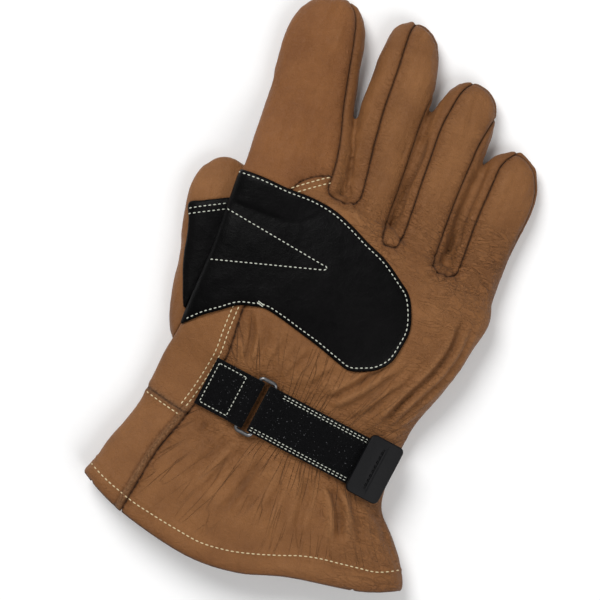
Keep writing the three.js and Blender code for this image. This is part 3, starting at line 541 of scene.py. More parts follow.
# Short pleats round the feet of the slits: middle of each foot, then turn, reach and depth of its pleats
pleat = {"from": 2.4, "bend": 0.12, "wide": 0.95, "bank": 0.5}
slitFeet = [
    ((-4.5, 52), [(200, 7, 0.7), (160, 6, 0.5), (235, 9, 0.7), (275, 11, 0.6), (320, 10, 0.6), (20, 6, 0.4)]),
    ((17, 41), [(190, 8, 0.5), (225, 10, 0.7), (262, 12, 0.7), (300, 11, 0.6), (340, 8, 0.5)]),
    ((49, 37), [(175, 9, 0.6), (205, 12, 0.8), (235, 13, 0.8), (268, 12, 0.6), (305, 10, 0.6),
                (345, 8, 0.5)]),
]
for foot, pleats in slitFeet:
    for turn, reach, deep in pleats:
        ahead = np.array((math.cos(math.radians(turn)), math.sin(math.radians(turn))))
        bend = np.array((-ahead[1], ahead[0])) * pleat["bend"] * reach
        start = np.array(foot) + pleat["from"] * ahead
        line = [start, start + ahead * reach / 2 + bend, start + ahead * reach]
        backFolds.append((pleat["wide"], deep, pleat["bank"], line))


def foldRelief(spots, folds):
    height = np.zeros(len(spots))
    for wide, deep, bank, line in folds:
        d, along, _ = nearLine(spots, smoothLine(line, steps=5))
        near = d < 5 * wide
        ends = smoothStep(0, 0.18, along[near]) * smoothStep(0, 0.3, 1 - along[near])
        shape = bank * hump(d[near] - 2 * wide, 1.1 * wide) - hump(d[near], wide)
        height[near] += deep * ends * shape
    return height


# Folds that fan out from the strap: their height, how broad and long they are, and the points they fan from
gathers = {"height": 0.95, "finger": 4.2, "length": 44, "creaseReach": 1.5,
           "above": {"centre": (2, -104), "reach": 23}, "below": {"centre": (10, -24), "reach": 36}}


# Places along the lines that fan out from the strap: how far round, how far out, and how strongly gathered
def drapeOf(spots, reachTimes=1.0):
    off = offStrap(spots)
    past = np.maximum(np.abs(off) - strap["width"] / 2, 0)
    drape = np.zeros((len(spots), 3))
    for here, fan in ((off > 0, gathers["above"]), (off <= 0, gathers["below"])):
        away = spots[here, :2] - np.array(fan["centre"])
        drape[here, 0] = np.arctan2(away[:, 0], np.abs(away[:, 1])) * 55
        drape[here, 1] = np.hypot(away[:, 0], away[:, 1])
        drape[here, 2] = hump(past[here], fan["reach"] * reachTimes)
    return drape


# Folds that fan out from the strap: noise drawn out along those lines
def fanRelief(spots):
    drape = drapeOf(spots)
    near = drape[:, 2] > 0.05
    laid = np.column_stack((drape[near, :2], spots[near, 2]))
    folds = noiseOver(laid, (gathers["finger"], gathers["length"], 30), 2, 50.3)
    broad = noiseOver(laid, (2.6 * gathers["finger"], 1.4 * gathers["length"], 30), 1, 61.7)
    valley = 0.35 - np.abs(folds) * 1.9
    height = np.zeros(len(spots))
    height[near] = gathers["height"] * drape[near, 2] * (0.7 * np.minimum(-valley, 0.45) + 0.8 * broad)
    return height


# The gauntlet's front panel lies left of the back seam, below the seam across it
def onGauntlet(spots):
    return (spots[:, 0] < np.interp(spots[:, 1], (-130, -75), (-60, -46))) & (spots[:, 1] < -72)


# Arcs of creases below the feet of the fingers
knuckles = {"centre": (46, 95), "y": 34, "reach": 11, "from": (-10, 8), "strength": 0.9}


# Where the thin creases show: they fan out from the strap, and run in arcs below the feet of the fingers
def creaseMask(spots, normals):
    drape = drapeOf(spots, gathers["creaseReach"])
    beyondStrap = smoothStep(4, 10, np.abs(offStrap(spots)))
    fromSeam, _, side = nearLine(spots, backSeam)
    leftOfSeam = 1 - 0.85 * smoothStep(0, 3, fromSeam * side)
    beyondHem = 0.15 + 0.85 * smoothStep(8, 15, -rimField(spots))
    beyondHem = np.where(spots[:, 1] < -80, beyondHem, 1)
    drape[:, 2] *= beyondStrap * leftOfSeam * beyondHem
    upper = spots[:, 1] > 5
    away = spots[upper, :2] - np.array(knuckles["centre"])
    drape[upper, 0] = np.hypot(away[:, 0], away[:, 1])
    drape[upper, 1] = np.arctan2(away[:, 0], -away[:, 1]) * 60
    drape[upper, 2] = (knuckles["strength"] * hump(spots[upper, 1] - knuckles["y"], knuckles["reach"])
                       * smoothStep(*knuckles["from"], spots[upper, 0]))
    drape[:, 2] *= 0.3 + 0.7 * smoothStep(0.0, 0.5, normals[:, 2])
    return drape


# Raw edges: the rolled lip beside the gauntlet's seam and the strip along the seam across it
def rawEdge(spots, normals):
    fromSeam, _, side = nearLine(spots, backSeam)
    fromCross = nearLine(spots, crossLine)[0]
    onTop = smoothStep(0.1, 0.5, normals[:, 2])
    lip = hump(fromSeam - 2.0, 1.5) * (side > 0) * smoothStep(-66, -74, spots[:, 1])
    across = hump(fromCross, 1.5) * smoothStep(-44.5, -47, spots[:, 0])
    return lip * onTop, across * onTop


# Heights of the hide's own swells and wrinkles, then of what its seams, raw edges and hem do to it
hide = {"swell": 0.55, "fingers": 0.45, "fine": 0.35, "underPatch": 0.35, "floor": 0.02}
sewing = {"groove": 0.70, "pull": 0.55, "bank": 0.20, "raw": 0.28, "strip": 0.9, "ridge": 1.15, "dip": 0.45,
          "lip": 0.55, "turned": 0.5, "hem": 0.45, "hemLine": 0.25, "lipEnds": 42}


# Where the panels swell between their seams, fold and wrinkle
def leatherRelief(spots, normals, seams):
    onTop = smoothStep(0.15, 0.6, normals[:, 2])
    past = np.abs(offStrap(spots)) - strap["width"] / 2
    clear = smoothStep(1.5, 8, past)
    clear = np.where(onGauntlet(spots), 0.4 * clear, clear)
    outside = smoothStep(-1.5, 2.5, -insideOutline(spots, backPatchLine))
    soft = hide["swell"] * noiseOver(spots, (16, 19, 16), 2, 3.1)
    lengthwise = noiseOver(spots, (3.4, 26, 7), 2, 8.3)
    crosswise = noiseOver(spots, (15, 2.9, 9), 2, 5.7)
    wrinkles = hide["fingers"] * smoothStep(35, 60, spots[:, 1]) * lengthwise
    wrinkles -= hump(spots[:, 1] - 46, 15) * np.maximum(0.22 - np.abs(crosswise), 0)
    fine = hide["fine"] * noiseOver(spots, (8, 12, 8), 3, 12.9)
    height = onTop * clear * outside * (fanRelief(spots) + foldRelief(spots, backFolds))
    height += clear * (0.4 + 0.6 * smoothStep(1, 5, seams)) * outside * (soft + wrinkles + fine)
    height -= hide["underPatch"] * (1 - outside) * onTop

    rawLip, rawAcross = rawEdge(spots, normals)
    groove = sewing["bank"] * hump(seams - 2.4, 1.3) - sewing["groove"] * hump(seams, 0.65)
    groove -= sewing["pull"] * onTop * hump(seams, 2.6)
    groove *= 1 - 0.75 * rawAcross
    rough = sewing["raw"] * (rawLip + rawAcross) * noiseOver(spots, (1.6, 1.6, 1.6), 2, 71.0)
    fromSeam, _, side = nearLine(spots, backSeam)
    belowIndex = spots[:, 1] < sewing["lipEnds"]
    lip = sewing["lip"] * (side > 0) * smoothStep(6, 1.2, fromSeam) * belowIndex * onTop
    ridge = sewing["ridge"] * hump(fromSeam - 2.0, 1.35) * (0.85 + 0.15 * np.sin(2.6 * spots[:, 1]))
    ridge -= sewing["dip"] * hump(fromSeam - 4.2, 0.6)
    lip += ridge * (side > 0) * smoothStep(-66, -74, spots[:, 1]) * onTop
    lip += sewing["turned"] * (side < 0) * smoothStep(5.5, 1.2, fromSeam) * ~belowIndex * onTop * outside
    rimOff = -rimField(spots)
    hem = sewing["hem"] * smoothStep(12.5, 10.5, rimOff) - sewing["hemLine"] * hump(rimOff - 9.2, 0.8)
    return height + groove + lip + sewing["strip"] * rawAcross + rough + hem * (spots[:, 1] < -80)


# Where the leather is lined with fine creases: the feet of the fingers, beside the strap and the hand's edge
def linedMask(spots, seams):
    past = np.abs(offStrap(spots)) - strap["width"] / 2
    mask = 0.08 + 0.6 * hump(spots[:, 1] - 38, 20) * smoothStep(-30, 0, spots[:, 0])
    mask += 0.45 * hump(past, 20) * smoothStep(-46, -34, spots[:, 0])
    mask += 0.45 * smoothStep(34, 55, spots[:, 0]) * (spots[:, 1] < 60) + 0.35 * hump(seams - 2, 3)
    ringFinger = smoothStep(20, 26, spots[:, 0]) * smoothStep(54, 46, spots[:, 0])
    ringFinger *= smoothStep(40, 55, spots[:, 1])
    return np.clip(mask + 0.1 * ringFinger, 0, 1)


relief = leatherRelief(base, normals, seams)
shaped = base + normals * relief[:, None]
shaped[:, 2] = np.maximum(shaped[:, 2], hide["floor"])
print("relief", round(float(relief.min()), 2), round(float(relief.max()), 2))


# Puts the new places into the skin, and what the shaders read at each point
def writeSkin(bm, spots, layers):
    kinds = bm.verts.layers
    made = {name: (kinds.float_vector if np.ndim(values) == 2 else kinds.float).new(name)
            for name, values in layers.items()}
    for i, v in enumerate(bm.verts):
        v.co = Vector(spots[i]) * mm
        for name, values in layers.items():
            v[made[name]] = values[i]


baseSkin = handSkin.copy()
rawLip, rawAcross = rawEdge(base, normals)
lipEdge = nearLine(base, backSeam)[0]
# the seams' dark line of dirt and painted shade is drawn again along the raw lip's outer edge, 4 mm from the back
# seam
drawnSeams = np.where(rawLip > 0.02, np.minimum(seams, np.abs(lipEdge - 4.0) + 0.35), seams)
writeSkin(handSkin, shaped, {"seam": drawnSeams, "relief": relief, "lined": linedMask(base, seams),
                             "raw": np.maximum(rawLip, rawAcross), "drape": creaseMask(base, normals)})
glove = BVHTree.FromBMesh(handSkin)


# Finishes. Groups give heights and masks over the surface, and the shaders stay in the materials
def plug(tree, node, inputs):
    for name, value in inputs.items():
        if isinstance(value, bpy.types.NodeSocket):
            tree.links.new(value, node.inputs[name])
        else:
            node.inputs[name].default_value = value


def addNode(tree, kind, inputs=None, **settings):
    made = tree.nodes.new(kind)
    for name, value in settings.items():
        setattr(made, name, value)
    plug(tree, made, inputs or {})
    return made


def arithmetic(tree, operation, first, second=None, third=None):
    inputs = {i: v for i, v in enumerate((first, second, third)) if v is not None}
    return addNode(tree, "ShaderNodeMath", inputs, operation=operation).outputs[0]


def times(tree, first, *more):
    for value in more:
        first = arithmetic(tree, "MULTIPLY", first, value)
    return first


def objectPlace(tree):
    return addNode(tree, "ShaderNodeTexCoord").outputs["Object"]


def attribute(tree, name, kind="Fac"):
    return addNode(tree, "ShaderNodeAttribute", attribute_name=name).outputs[kind]


def noiseAt(tree, place, scale, detail, roughness=0.5, distortion=0.0):
    inputs = {"Vector": place, "Scale": scale, "Detail": detail, "Roughness": roughness, "Distortion": distortion}
    return addNode(tree, "ShaderNodeTexNoise", inputs).outputs["Fac"]


# Maps low to least and high to most, held at both ends
def spread(tree, value, low, high, most=1.0, least=0.0):
    inputs = {"Value": value, "From Min": low, "From Max": high, "To Min": least, "To Max": most}
    return addNode(tree, "ShaderNodeMapRange", inputs).outputs[0]


# Thin lines where a noise passes its middle value: 0 on the line, 1 away from it
def middleLines(tree, waves, thin):
    off = arithmetic(tree, "ABSOLUTE", arithmetic(tree, "SUBTRACT", waves, 0.5))
    return spread(tree, off, 0.0, thin)


def bumped(tree, height, strength, distance, over=None):
    inputs = {"Height": height, "Strength": strength, "Distance": distance}
    if over is not None:
        inputs["Normal"] = over
    return addNode(tree, "ShaderNodeBump", inputs).outputs[0]


def mixColours(tree, mask, first, second):
    return addNode(tree, "ShaderNodeMix", {0: mask, 6: first, 7: second}, data_type="RGBA").outputs[2]


def newGroup(name, inputs, outputs):
    tree = bpy.data.node_groups.new(name, "ShaderNodeTree")
    kind = "NodeSocketFloat"
    for label, value in inputs.items():
        tree.interface.new_socket(label, in_out="INPUT", socket_type=kind).default_value = value
    for label in outputs:
        tree.interface.new_socket(label, in_out="OUTPUT", socket_type=kind)
    return tree, tree.nodes.new("NodeGroupInput").outputs, tree.nodes.new("NodeGroupOutput")


# Fine pebbled grain with pores and small cross creases
def buildGrain():
    tree, given, out = newGroup("leatherGrain", {"Cells": 1500.0, "Creases": 260.0}, ("Height", "Pores"))
    place = objectPlace(tree)
    bent = addNode(tree, "ShaderNodeTexNoise", {"Vector": place, "Scale": 420.0, "Detail": 2.0})
    offset = addNode(tree, "ShaderNodeVectorMath", {0: bent.outputs["Color"], "Scale": 0.0007}, operation="SCALE")
    moved = addNode(tree, "ShaderNodeVectorMath", {0: place, 1: offset.outputs[0]}, operation="ADD").outputs[0]
    cells = addNode(tree, "ShaderNodeTexVoronoi", {"Vector": moved, "Scale": given["Cells"]},
                    feature="DISTANCE_TO_EDGE").outputs["Distance"]
    pebble = spread(tree, cells, 0.0, 0.16)
    soft = middleLines(tree, noiseAt(tree, moved, given["Creases"], 5.0, 0.62, 0.6), 0.12)
    height = arithmetic(tree, "MULTIPLY_ADD", soft, 0.65, times(tree, pebble, 0.35))
    plug(tree, out, {"Height": height, "Pores": arithmetic(tree, "SUBTRACT", 1.0, pebble)})
    return tree


# Fine wavy creases in three directions, on drawn-out noise
def buildCreases():
    tree, given, out = newGroup("fineCreases", {"Size": 150.0}, ("Height",))
    place = objectPlace(tree)
    height = None
    for turn, squeeze, grow in ((0.25, 0.35, 1.0), (-0.75, 0.4, 1.5), (1.25, 0.3, 1.2)):
        laid = addNode(tree, "ShaderNodeMapping", {"Vector": place, "Rotation": (0, 0, turn),
                                                   "Scale": (squeeze, 1, 1)})
        waves = noiseAt(tree, laid.outputs[0], times(tree, given["Size"], grow), 2.5, 0.55, 0.9)
        line = middleLines(tree, waves, 0.045)
        height = line if height is None else arithmetic(tree, "MINIMUM", height, line)
    plug(tree, out, {"Height": height})
    return tree


# Thin creases along the lines that fan out from the strap, in broken runs
def buildFanCreases():
    tree, given, out = newGroup("fanCreases", {"Across": 0.17, "Along": 0.013}, ("Height", "Reach"))
    drape = addNode(tree, "ShaderNodeSeparateXYZ", {"Vector": attribute(tree, "drape", "Vector")}).outputs
    height = None
    for grow, layer, thin in ((1.0, 3.0, 0.015), (1.5, 41.0, 0.014)):
        laid = addNode(tree, "ShaderNodeCombineXYZ", {"X": times(tree, drape["X"], given["Across"], grow),
                                                      "Y": times(tree, drape["Y"], given["Along"], grow),
                                                      "Z": layer}).outputs[0]
        line = middleLines(tree, noiseAt(tree, laid, 1.0, 1.0, 0.4, 0.15), thin)
        height = line if height is None else arithmetic(tree, "MINIMUM", height, line)
    runs = spread(tree, noiseAt(tree, objectPlace(tree), 45.0, 1.0), 0.34, 0.60)
    plug(tree, out, {"Height": height, "Reach": times(tree, drape["Z"], runs)})
    return tree


# Suede fuzz of a raw edge
def buildFuzz():
    tree, given, out = newGroup("rawFuzz", {"Size": 950.0}, ("Fuzz",))
    fuzz = noiseAt(tree, objectPlace(tree), given["Size"], 4.0, 0.7)
    plug(tree, out, {"Fuzz": spread(tree, fuzz, 0.35, 0.65)})
    return tree


# Long soft wrinkles that run with the hand
def buildWrinkles():
    tree, given, out = newGroup("softWrinkles", {"Across": 170.0, "Along": 42.0}, ("Height",))
    size = addNode(tree, "ShaderNodeCombineXYZ", {"X": given["Across"], "Y": given["Along"],
                                                  "Z": given["Across"]})
    scaled = addNode(tree, "ShaderNodeVectorMath", {0: objectPlace(tree), 1: size.outputs[0]},
                     operation="MULTIPLY").outputs[0]
    plug(tree, out, {"Height": noiseAt(tree, scaled, 1.0, 4.0, 0.55, 0.5)})
    return tree


# Broad patches where the hide took more or less dye; on the black leather the greyer patches are painted sheen
def buildMottle():
    tree, given, out = newGroup("dyeAndSheenMottle", {"Size": 46.0}, ("Mask",))
    broad = noiseAt(tree, objectPlace(tree), given["Size"], 6.0, 0.6)
    plug(tree, out, {"Mask": spread(tree, broad, 0.32, 0.68)})
    return tree


groups = {"grain": buildGrain(), "creases": buildCreases(), "wrinkles": buildWrinkles(),
          "mottle": buildMottle(), "fan": buildFanCreases(), "fuzz": buildFuzz()}


def placeGroup(tree, name, inputs=None):
    made = tree.nodes.new("ShaderNodeGroup")
    made.node_tree = groups[name]
    plug(tree, made, inputs or {})
    return made.outputs


def newMaterial(name):
    made = bpy.data.materials.new(name)
    made.use_nodes = True
    tree = made.node_tree
    return made, tree, tree.nodes["Principled BSDF"]


def leatherMaterial(name, look):
    made, tree, shader = newMaterial(name)
    grain = placeGroup(tree, "grain", {"Cells": look["cells"], "Creases": look["creases"]})
    wrinkles = placeGroup(tree, "wrinkles", {"Across": look["across"], "Along": look["along"]})
    mottle = placeGroup(tree, "mottle", {"Size": look["mottle"]})
    lines = placeGroup(tree, "creases", {"Size": look["lineSize"]})["Height"]
    fan = placeGroup(tree, "fan")
    fuzz = placeGroup(tree, "fuzz")["Fuzz"]
    seam, raised, lined, raw = (attribute(tree, part) for part in ("seam", "relief", "lined", "raw"))
    rawColour = mixColours(tree, fuzz, look["rawDark"], look["rawLight"])
    colour = mixColours(tree, mottle["Mask"], look["deep"], look["colour"])

    # worn heights, painted shade in the hollows, pores, painted shade in the creases, the painted shade beside
    # seams, painted shade in the fan creases, raw edges, and the seams' dark line of dirt with painted shade in
    # their grooves
    coats = [
        (spread(tree, raised, 0.3, 1.7, look["wear"]), look["worn"]),
        # painted shade: darker where the relief sinks into hollows and where the patches' edges roll down
        (spread(tree, raised, -0.4, -2.0, look["hollowShade"]), look["dark"]),
        (times(tree, grain["Pores"], look["pores"]), look["dark"]),
        # painted shade in the fine creases, where the leather is lined
        (times(tree, spread(tree, lines, 0.8, 0.1, look["creaseShade"]), lined), look["dark"]),
        (spread(tree, seam, 5.0, 0.5, look["shade"]), look["shaded"]),
        # painted shade in the creases that fan out from the strap
        (times(tree, spread(tree, fan["Height"], 0.9, 0.1, look["fanCreaseShade"]), fan["Reach"]), look["dark"]),
        (times(tree, raw, look["raw"]), rawColour),
        # the seams: a thin dark line, partly dirt and partly painted shade in the groove
        (spread(tree, seam, 0.9, 0.1, look["seamDirtAndShade"]), look["dark"]),
    ]
    for mask, over in coats:
        colour = mixColours(tree, mask, colour, over)

    # three bumps, each on top of the one before: wrinkles, creases with fuzz, grain
    broad = bumped(tree, wrinkles["Height"], look["wrinkle"], 0.0016)
    height = times(tree, lines, arithmetic(tree, "MULTIPLY_ADD", lined, look["lined"], look["plainLined"]))
    for more in (times(tree, fan["Reach"], look["fan"], fan["Height"]), times(tree, raw, fuzz)):
        height = arithmetic(tree, "ADD", height, more)
    crossed = bumped(tree, height, 0.9, 0.00045, broad)
    fine = bumped(tree, grain["Height"], look["grain"], 0.0002, crossed)
    rough = spread(tree, grain["Height"], 0.0, 1.0, look["rough"], look["rough"] + 0.1)
    plug(tree, shader, {"Base Color": colour, "Roughness": rough, "Normal": fine,
                        "Specular IOR Level": look["specular"], "Sheen Weight": look["sheen"],
                        "Sheen Roughness": 0.4})
    return made


tanLook = {"colour": (0.262, 0.112, 0.037, 1), "deep": (0.185, 0.074, 0.0225, 1),
           "worn": (0.35, 0.163, 0.062, 1), "dark": (0.040, 0.015, 0.006, 1), "shaded": (0.150, 0.056, 0.0165, 1),
           "rawDark": (0.085, 0.034, 0.011, 1), "rawLight": (0.32, 0.165, 0.075, 1),
           "cells": 1500, "creases": 240, "across": 150, "along": 60, "mottle": 42, "wear": 0.4, "hollowShade": 0.4,
           "pores": 0.2, "seamDirtAndShade": 0.6, "rough": 0.5, "wrinkle": 0.4, "grain": 0.9, "lineSize": 150,
           "lined": 0.9, "plainLined": 0.05, "specular": 0.2, "sheen": 0.03, "creaseShade": 0.2, "shade": 0.5,
           "fan": 1.3, "fanCreaseShade": 0.32, "raw": 0.75}
indexLook = dict(tanLook, colour=(0.245, 0.097, 0.029, 1), deep=(0.178, 0.066, 0.019, 1))
# The black leather: its broad greyer patches of mottle are painted sheen as well as uneven dye
blackLook = dict(tanLook, colour=(0.0048, 0.0044, 0.0047, 1), deep=(0.0008, 0.0008, 0.0009, 1),
                 worn=(0.003, 0.0028, 0.0029, 1), dark=(0.0006, 0.0006, 0.0006, 1), cells=1300, creases=300,
                 across=110, along=90, mottle=17, hollowShade=0.3, seamDirtAndShade=0.2, rough=0.34, wrinkle=0.12, grain=0.3,
                 lined=0.05, plainLined=0.03, specular=0.055, sheen=0.0, creaseShade=0.0, shade=0.0, fan=0.0,
                 fanCreaseShade=0.0, raw=0.0)
tanLeather = leatherMaterial("tanLeather", tanLook)
indexLeather = leatherMaterial("indexLeather", indexLook)
blackLeather = leatherMaterial("blackLeather", blackLook)


def threadMaterial(name, colour, dark):
    made, tree, shader = newMaterial(name)
    fibre = noiseAt(tree, objectPlace(tree), 2600.0, 3.0)
    plug(tree, shader, {"Base Color": mixColours(tree, fibre, dark, colour), "Roughness": 0.7,
                        "Normal": bumped(tree, fibre, 0.5, 0.0003), "Sheen Weight": 0.2})
    return made


# The strap's loop tape: matt black fleece with specks of lint
def fleeceMaterial():
    made, tree, shader = newMaterial("loopTape")
    place = objectPlace(tree)
    loops = addNode(tree, "ShaderNodeTexVoronoi", {"Vector": place, "Scale": 1900.0}).outputs["Distance"]
    height = arithmetic(tree, "ADD", loops, noiseAt(tree, place, 520.0, 5.0, 0.7))
    shade = spread(tree, height, 0.4, 1.2)
    colour = mixColours(tree, shade, (0.0006, 0.0006, 0.0008, 1), (0.0035, 0.0035, 0.004, 1))
    lint = spread(tree, noiseAt(tree, place, 1300.0, 1.0), 0.70, 0.78, 0.7)
    colour = mixColours(tree, lint, colour, (0.16, 0.16, 0.17, 1))
    plug(tree, shader, {"Base Color": colour, "Normal": bumped(tree, height, 0.9, 0.0006), "Roughness": 0.95,
                        "Specular IOR Level": 0.08, "Sheen Weight": 0.02})
    return made


def mouldedMaterial():
    made, tree, shader = newMaterial("mouldedTab")
    place = objectPlace(tree)
    broad = noiseAt(tree, place, 90.0, 3.0)
    spark = bumped(tree, noiseAt(tree, place, 1600.0, 3.0), 0.25, 0.0002)
    colour = mixColours(tree, broad, (0.0035, 0.0035, 0.004, 1), (0.006, 0.006, 0.007, 1))
    plug(tree, shader, {"Base Color": colour, "Roughness": spread(tree, broad, 0.0, 1.0, 0.5, 0.36),
                        "Normal": spark, "Specular IOR Level": 0.12})
    return made


def wireMaterial():
    made, tree, shader = newMaterial("blackWire")
    wear = noiseAt(tree, objectPlace(tree), 380.0, 4.0)
    colour = mixColours(tree, wear, (0.10, 0.10, 0.105, 1), (0.26, 0.26, 0.265, 1))
    plug(tree, shader, {"Base Color": colour, "Roughness": spread(tree, wear, 0.0, 1.0, 0.42, 0.28),
                        "Metallic": 0.9})
    return made


creamThread = threadMaterial("creamThread", (0.80, 0.68, 0.42, 1), (0.48, 0.36, 0.19, 1))
whiteThread = threadMaterial("whiteThread", (0.70, 0.72, 0.62, 1), (0.38, 0.40, 0.33, 1))
loopTape = fleeceMaterial()
mouldedTab = mouldedMaterial()
blackWire = wireMaterial()


def finish(made, node, material):
    made.data.materials.clear()
    made.data.materials.append(material)
    for face in made.data.polygons:
        face.use_smooth = True
        face.material_index = 0
    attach(made, "root")
    if node:
        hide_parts(node)
    return made


# Slivers and turned faces left by a cut are merged away, with crumbs that hang on by a corner
def tidySheet(part):
    bmesh.ops.remove_doubles(part, verts=part.verts, dist=0.3 * mm)
    bmesh.ops.dissolve_degenerate(part, dist=0.1 * mm, edges=part.edges)
    for _ in range(3):
        part.normal_update()
        turned = [f for f in part.faces
                  if sum(f.normal.dot(g.normal) for e in f.edges for g in e.link_faces if g is not f) < 0]
        short = [min(f.edges, key=lambda e: e.calc_length()) for f in turned]
        if short:
            bmesh.ops.collapse(part, edges=list(set(short)))
    for _ in range(2):
        crumbs = [f for f in part.faces if sum(e.is_boundary for e in f.edges) >= 2]
        bmesh.ops.delete(part, geom=crumbs, context="FACES")


# The piece of a skin whose faces are kept, as an object of its own
def keptPiece(skin, name, keep):
    part = skin.copy()
    part.faces.ensure_lookup_table()
    gone = [f for f, kept in zip(part.faces, keep) if not kept]
    bmesh.ops.delete(part, geom=gone, context="FACES")
    tidySheet(part)
    return newObject(name + "_leather", meshFrom(part, name + "_leather"))


def thicken(made, thickness, offset=-1):
    wall = made.modifiers.new("wall", "SOLIDIFY")
    wall.thickness = thickness
    wall.offset = offset
    return wall


# Nothing reaches below the floor, nor does the inner side of a wall at a sharp corner
def settle(made):
    walled = bpy.data.meshes.new_from_object(made.evaluated_get(bpy.context.evaluated_depsgraph_get()))
    made.modifiers.clear()
    made.data = walled
    for v in walled.vertices:
        v.co.z = max(v.co.z, 0)


# A panel is its share of the skin, with the leather's thickness inwards and the hem thicker at the mouth
hemming = {"from": 13, "full": 11, "thicker": 1.7}


def panel(skin, name, keep, material):
    made = keptPiece(skin, name, keep)
    hem = made.vertex_groups.new(name="hem")
    off = -rimField(np.array([v.co for v in made.data.vertices]) / mm)
    for i in np.nonzero(off < hemming["from"] + 1)[0]:
        hem.add([int(i)], float(smoothStep(hemming["from"], hemming["full"], off[i])), "REPLACE")
    wall = thicken(made, leather["wall"] * hemming["thicker"])
    wall.vertex_group = "hem"
    wall.thickness_vertex_group = 1 / hemming["thicker"]
    settle(made)
    return finish(made, name, material)


# The index finger's leather is a little darker
indexArea = {"above": 43, "leftOf": -4}
for name, code in codes.items():
    if name != "rim":
        made = panel(handSkin, name, labels == code, tanLeather)
        if name == "palm_panel":
            made.data.materials.append(indexLeather)
            for face in made.data.polygons:
                x, y = face.center.x / mm, face.center.y / mm
                face.material_index = int(y > indexArea["above"] and x < indexArea["leftOf"])
print("panels made")

# The thumb is trimmed where it goes into the hand
thumbBase, thumbCorners = readSkin(thumbSkin)
handBase = BVHTree.FromBMesh(baseSkin)


# How far each point is outside the hand's skin, in millimetres
def outsideHand(spots):
    depth = []
    for p in spots:
        place, normal, _, distance = handBase.find_nearest(Vector(p) * mm)
        outer = (Vector(p) * mm - place).dot(normal) > 0
        depth.append((distance if outer else -distance) / mm)
    return np.array(depth)


thumbLabels = np.zeros(len(thumbCorners), int)
thumbFixed = np.zeros(len(thumbBase), bool)
cutAlong(thumbBase, thumbCorners, thumbLabels, -1, lambda spots: 0.4 - outsideHand(spots), thumbFixed)
thumbNormals = outward(thumbBase, thumbCorners)
thumbPatch = {"foot": 6.8, "clear": 1.6, "edgeDrop": 0.5, "outline": [
    (-77.5, 20.3), (-72, 23.4), (-66, 26.4), (-60, 29.2), (-53, 30), (-44, 28), (-43, 15), (-43, 0),
    (-43, -15), (-46, -27), (-54, -30), (-61, -30.5), (-64.3, -25), (-67.2, -17), (-70, -9), (-72, -1),
    (-73.2, 6), (-75, 13)]}
thumbPatchLine = smoothLine(thumbPatch["outline"], closed=True)
underPatch = smoothStep(1.5, -1.5, insideOutline(thumbBase, thumbPatchLine))
thumbRelief = 0.45 * noiseOver(thumbBase, (14, 17, 12), 2, 21.0)
thumbRelief += 0.35 * noiseOver(thumbBase, (4, 20, 6), 2, 17.0)
thumbRelief = thumbRelief * (0.15 + 0.85 * underPatch) - 0.3 * (1 - underPatch)
thumbShaped = thumbBase + thumbNormals * thumbRelief[:, None]
thumbShaped[:, 2] = np.maximum(thumbShaped[:, 2], hide["floor"])
thumbRaw = thumbSkin.copy()
writeSkin(thumbSkin, thumbShaped, {"seam": np.full(len(thumbBase), 9.0), "relief": thumbRelief})
thumbTree = BVHTree.FromBMesh(thumbSkin)
panel(thumbSkin, "thumb", thumbLabels == 0, tanLeather)


# A patch is a copy of the skin inside its outline, lifted by the gap and its own thickness, with soft edges
def sewnPatch(skin, spots, corners, name, field, edgeDrop, seed):
    part = skin.copy()
    spots = spots.copy()
    labels = np.zeros(len(corners), int)
    fixed = np.zeros(len(spots), bool)
    cutAlong(spots, corners, labels, 1, field, fixed)
    normals = outward(spots, corners)
    inset = np.maximum(field(spots), 0)
    rise = (leather["gap"] + leather["patch"]) / mm + 0.25 * noiseOver(spots, (17, 17, 14), 2, seed)
    rise += 0.12 * noiseOver(spots, (6, 6, 6), 2, seed + 4) * smoothStep(2, 6, inset)
    edgeOff = edgeDrop * hump(inset, 0.7) + 0.22 * hump(inset - 1.6, 0.6)
    lifted = spots + normals * (rise - edgeOff)[:, None]
    lifted[:, 2] = np.maximum(lifted[:, 2], 0.0)
    writeSkin(part, lifted, {"seam": inset, "relief": -edgeOff})
    made = keptPiece(part, name, labels == 1)
    thicken(made, leather["patch"])
    finish(made, name, blackLeather)


def backPatchField(spots):
    return np.minimum(insideOutline(spots, backPatchLine), spots[:, 2] - backPatch["foot"])


def palmPatchField(spots):
    return np.minimum(insideOutline(spots, palmPatchLine), palmPatch["top"] - spots[:, 2])


def thumbPatchField(spots):
    onThumb = np.minimum(insideOutline(spots, thumbPatchLine), spots[:, 2] - thumbPatch["foot"])
    return np.minimum(onThumb, outsideHand(spots) - thumbPatch["clear"])


sewnPatch(baseSkin, base, corners, "back_patch", backPatchField, backPatch["edgeDrop"], 31.0)
sewnPatch(baseSkin, base, corners, "palm_patch", palmPatchField, palmPatch["edgeDrop"], 37.0)
sewnPatch(thumbRaw, thumbBase, thumbCorners, "thumb_patch", thumbPatchField, thumbPatch["edgeDrop"], 41.0)
print("patches made")


# Height of the leather under the strap, in millimetres
def topAt(x, y):
    low, high = 0.0, 1.0
    for _ in range(20):
        half = (low + high) / 2
        if rowAt(handRows, half)["y"] < y - shift[1]:
            low = half
        else:
            high = half
    row = rowAt(handRows, low)
    across = min(max(2 * (x - shift[0] - row["left"]) / (row["right"] - row["left"]) - 1, -1), 1)
    lifted = row["rest"] + row["lift"] * hand["liftHeight"] * fade((across + 1) / 2 / hand["liftShare"])
    side = lifted + oval["side"] * (row["top"] - lifted)
    return side + (row["top"] - side) * (1 - abs(across) ** oval["squareness"]) ** (1 / oval["squareness"])


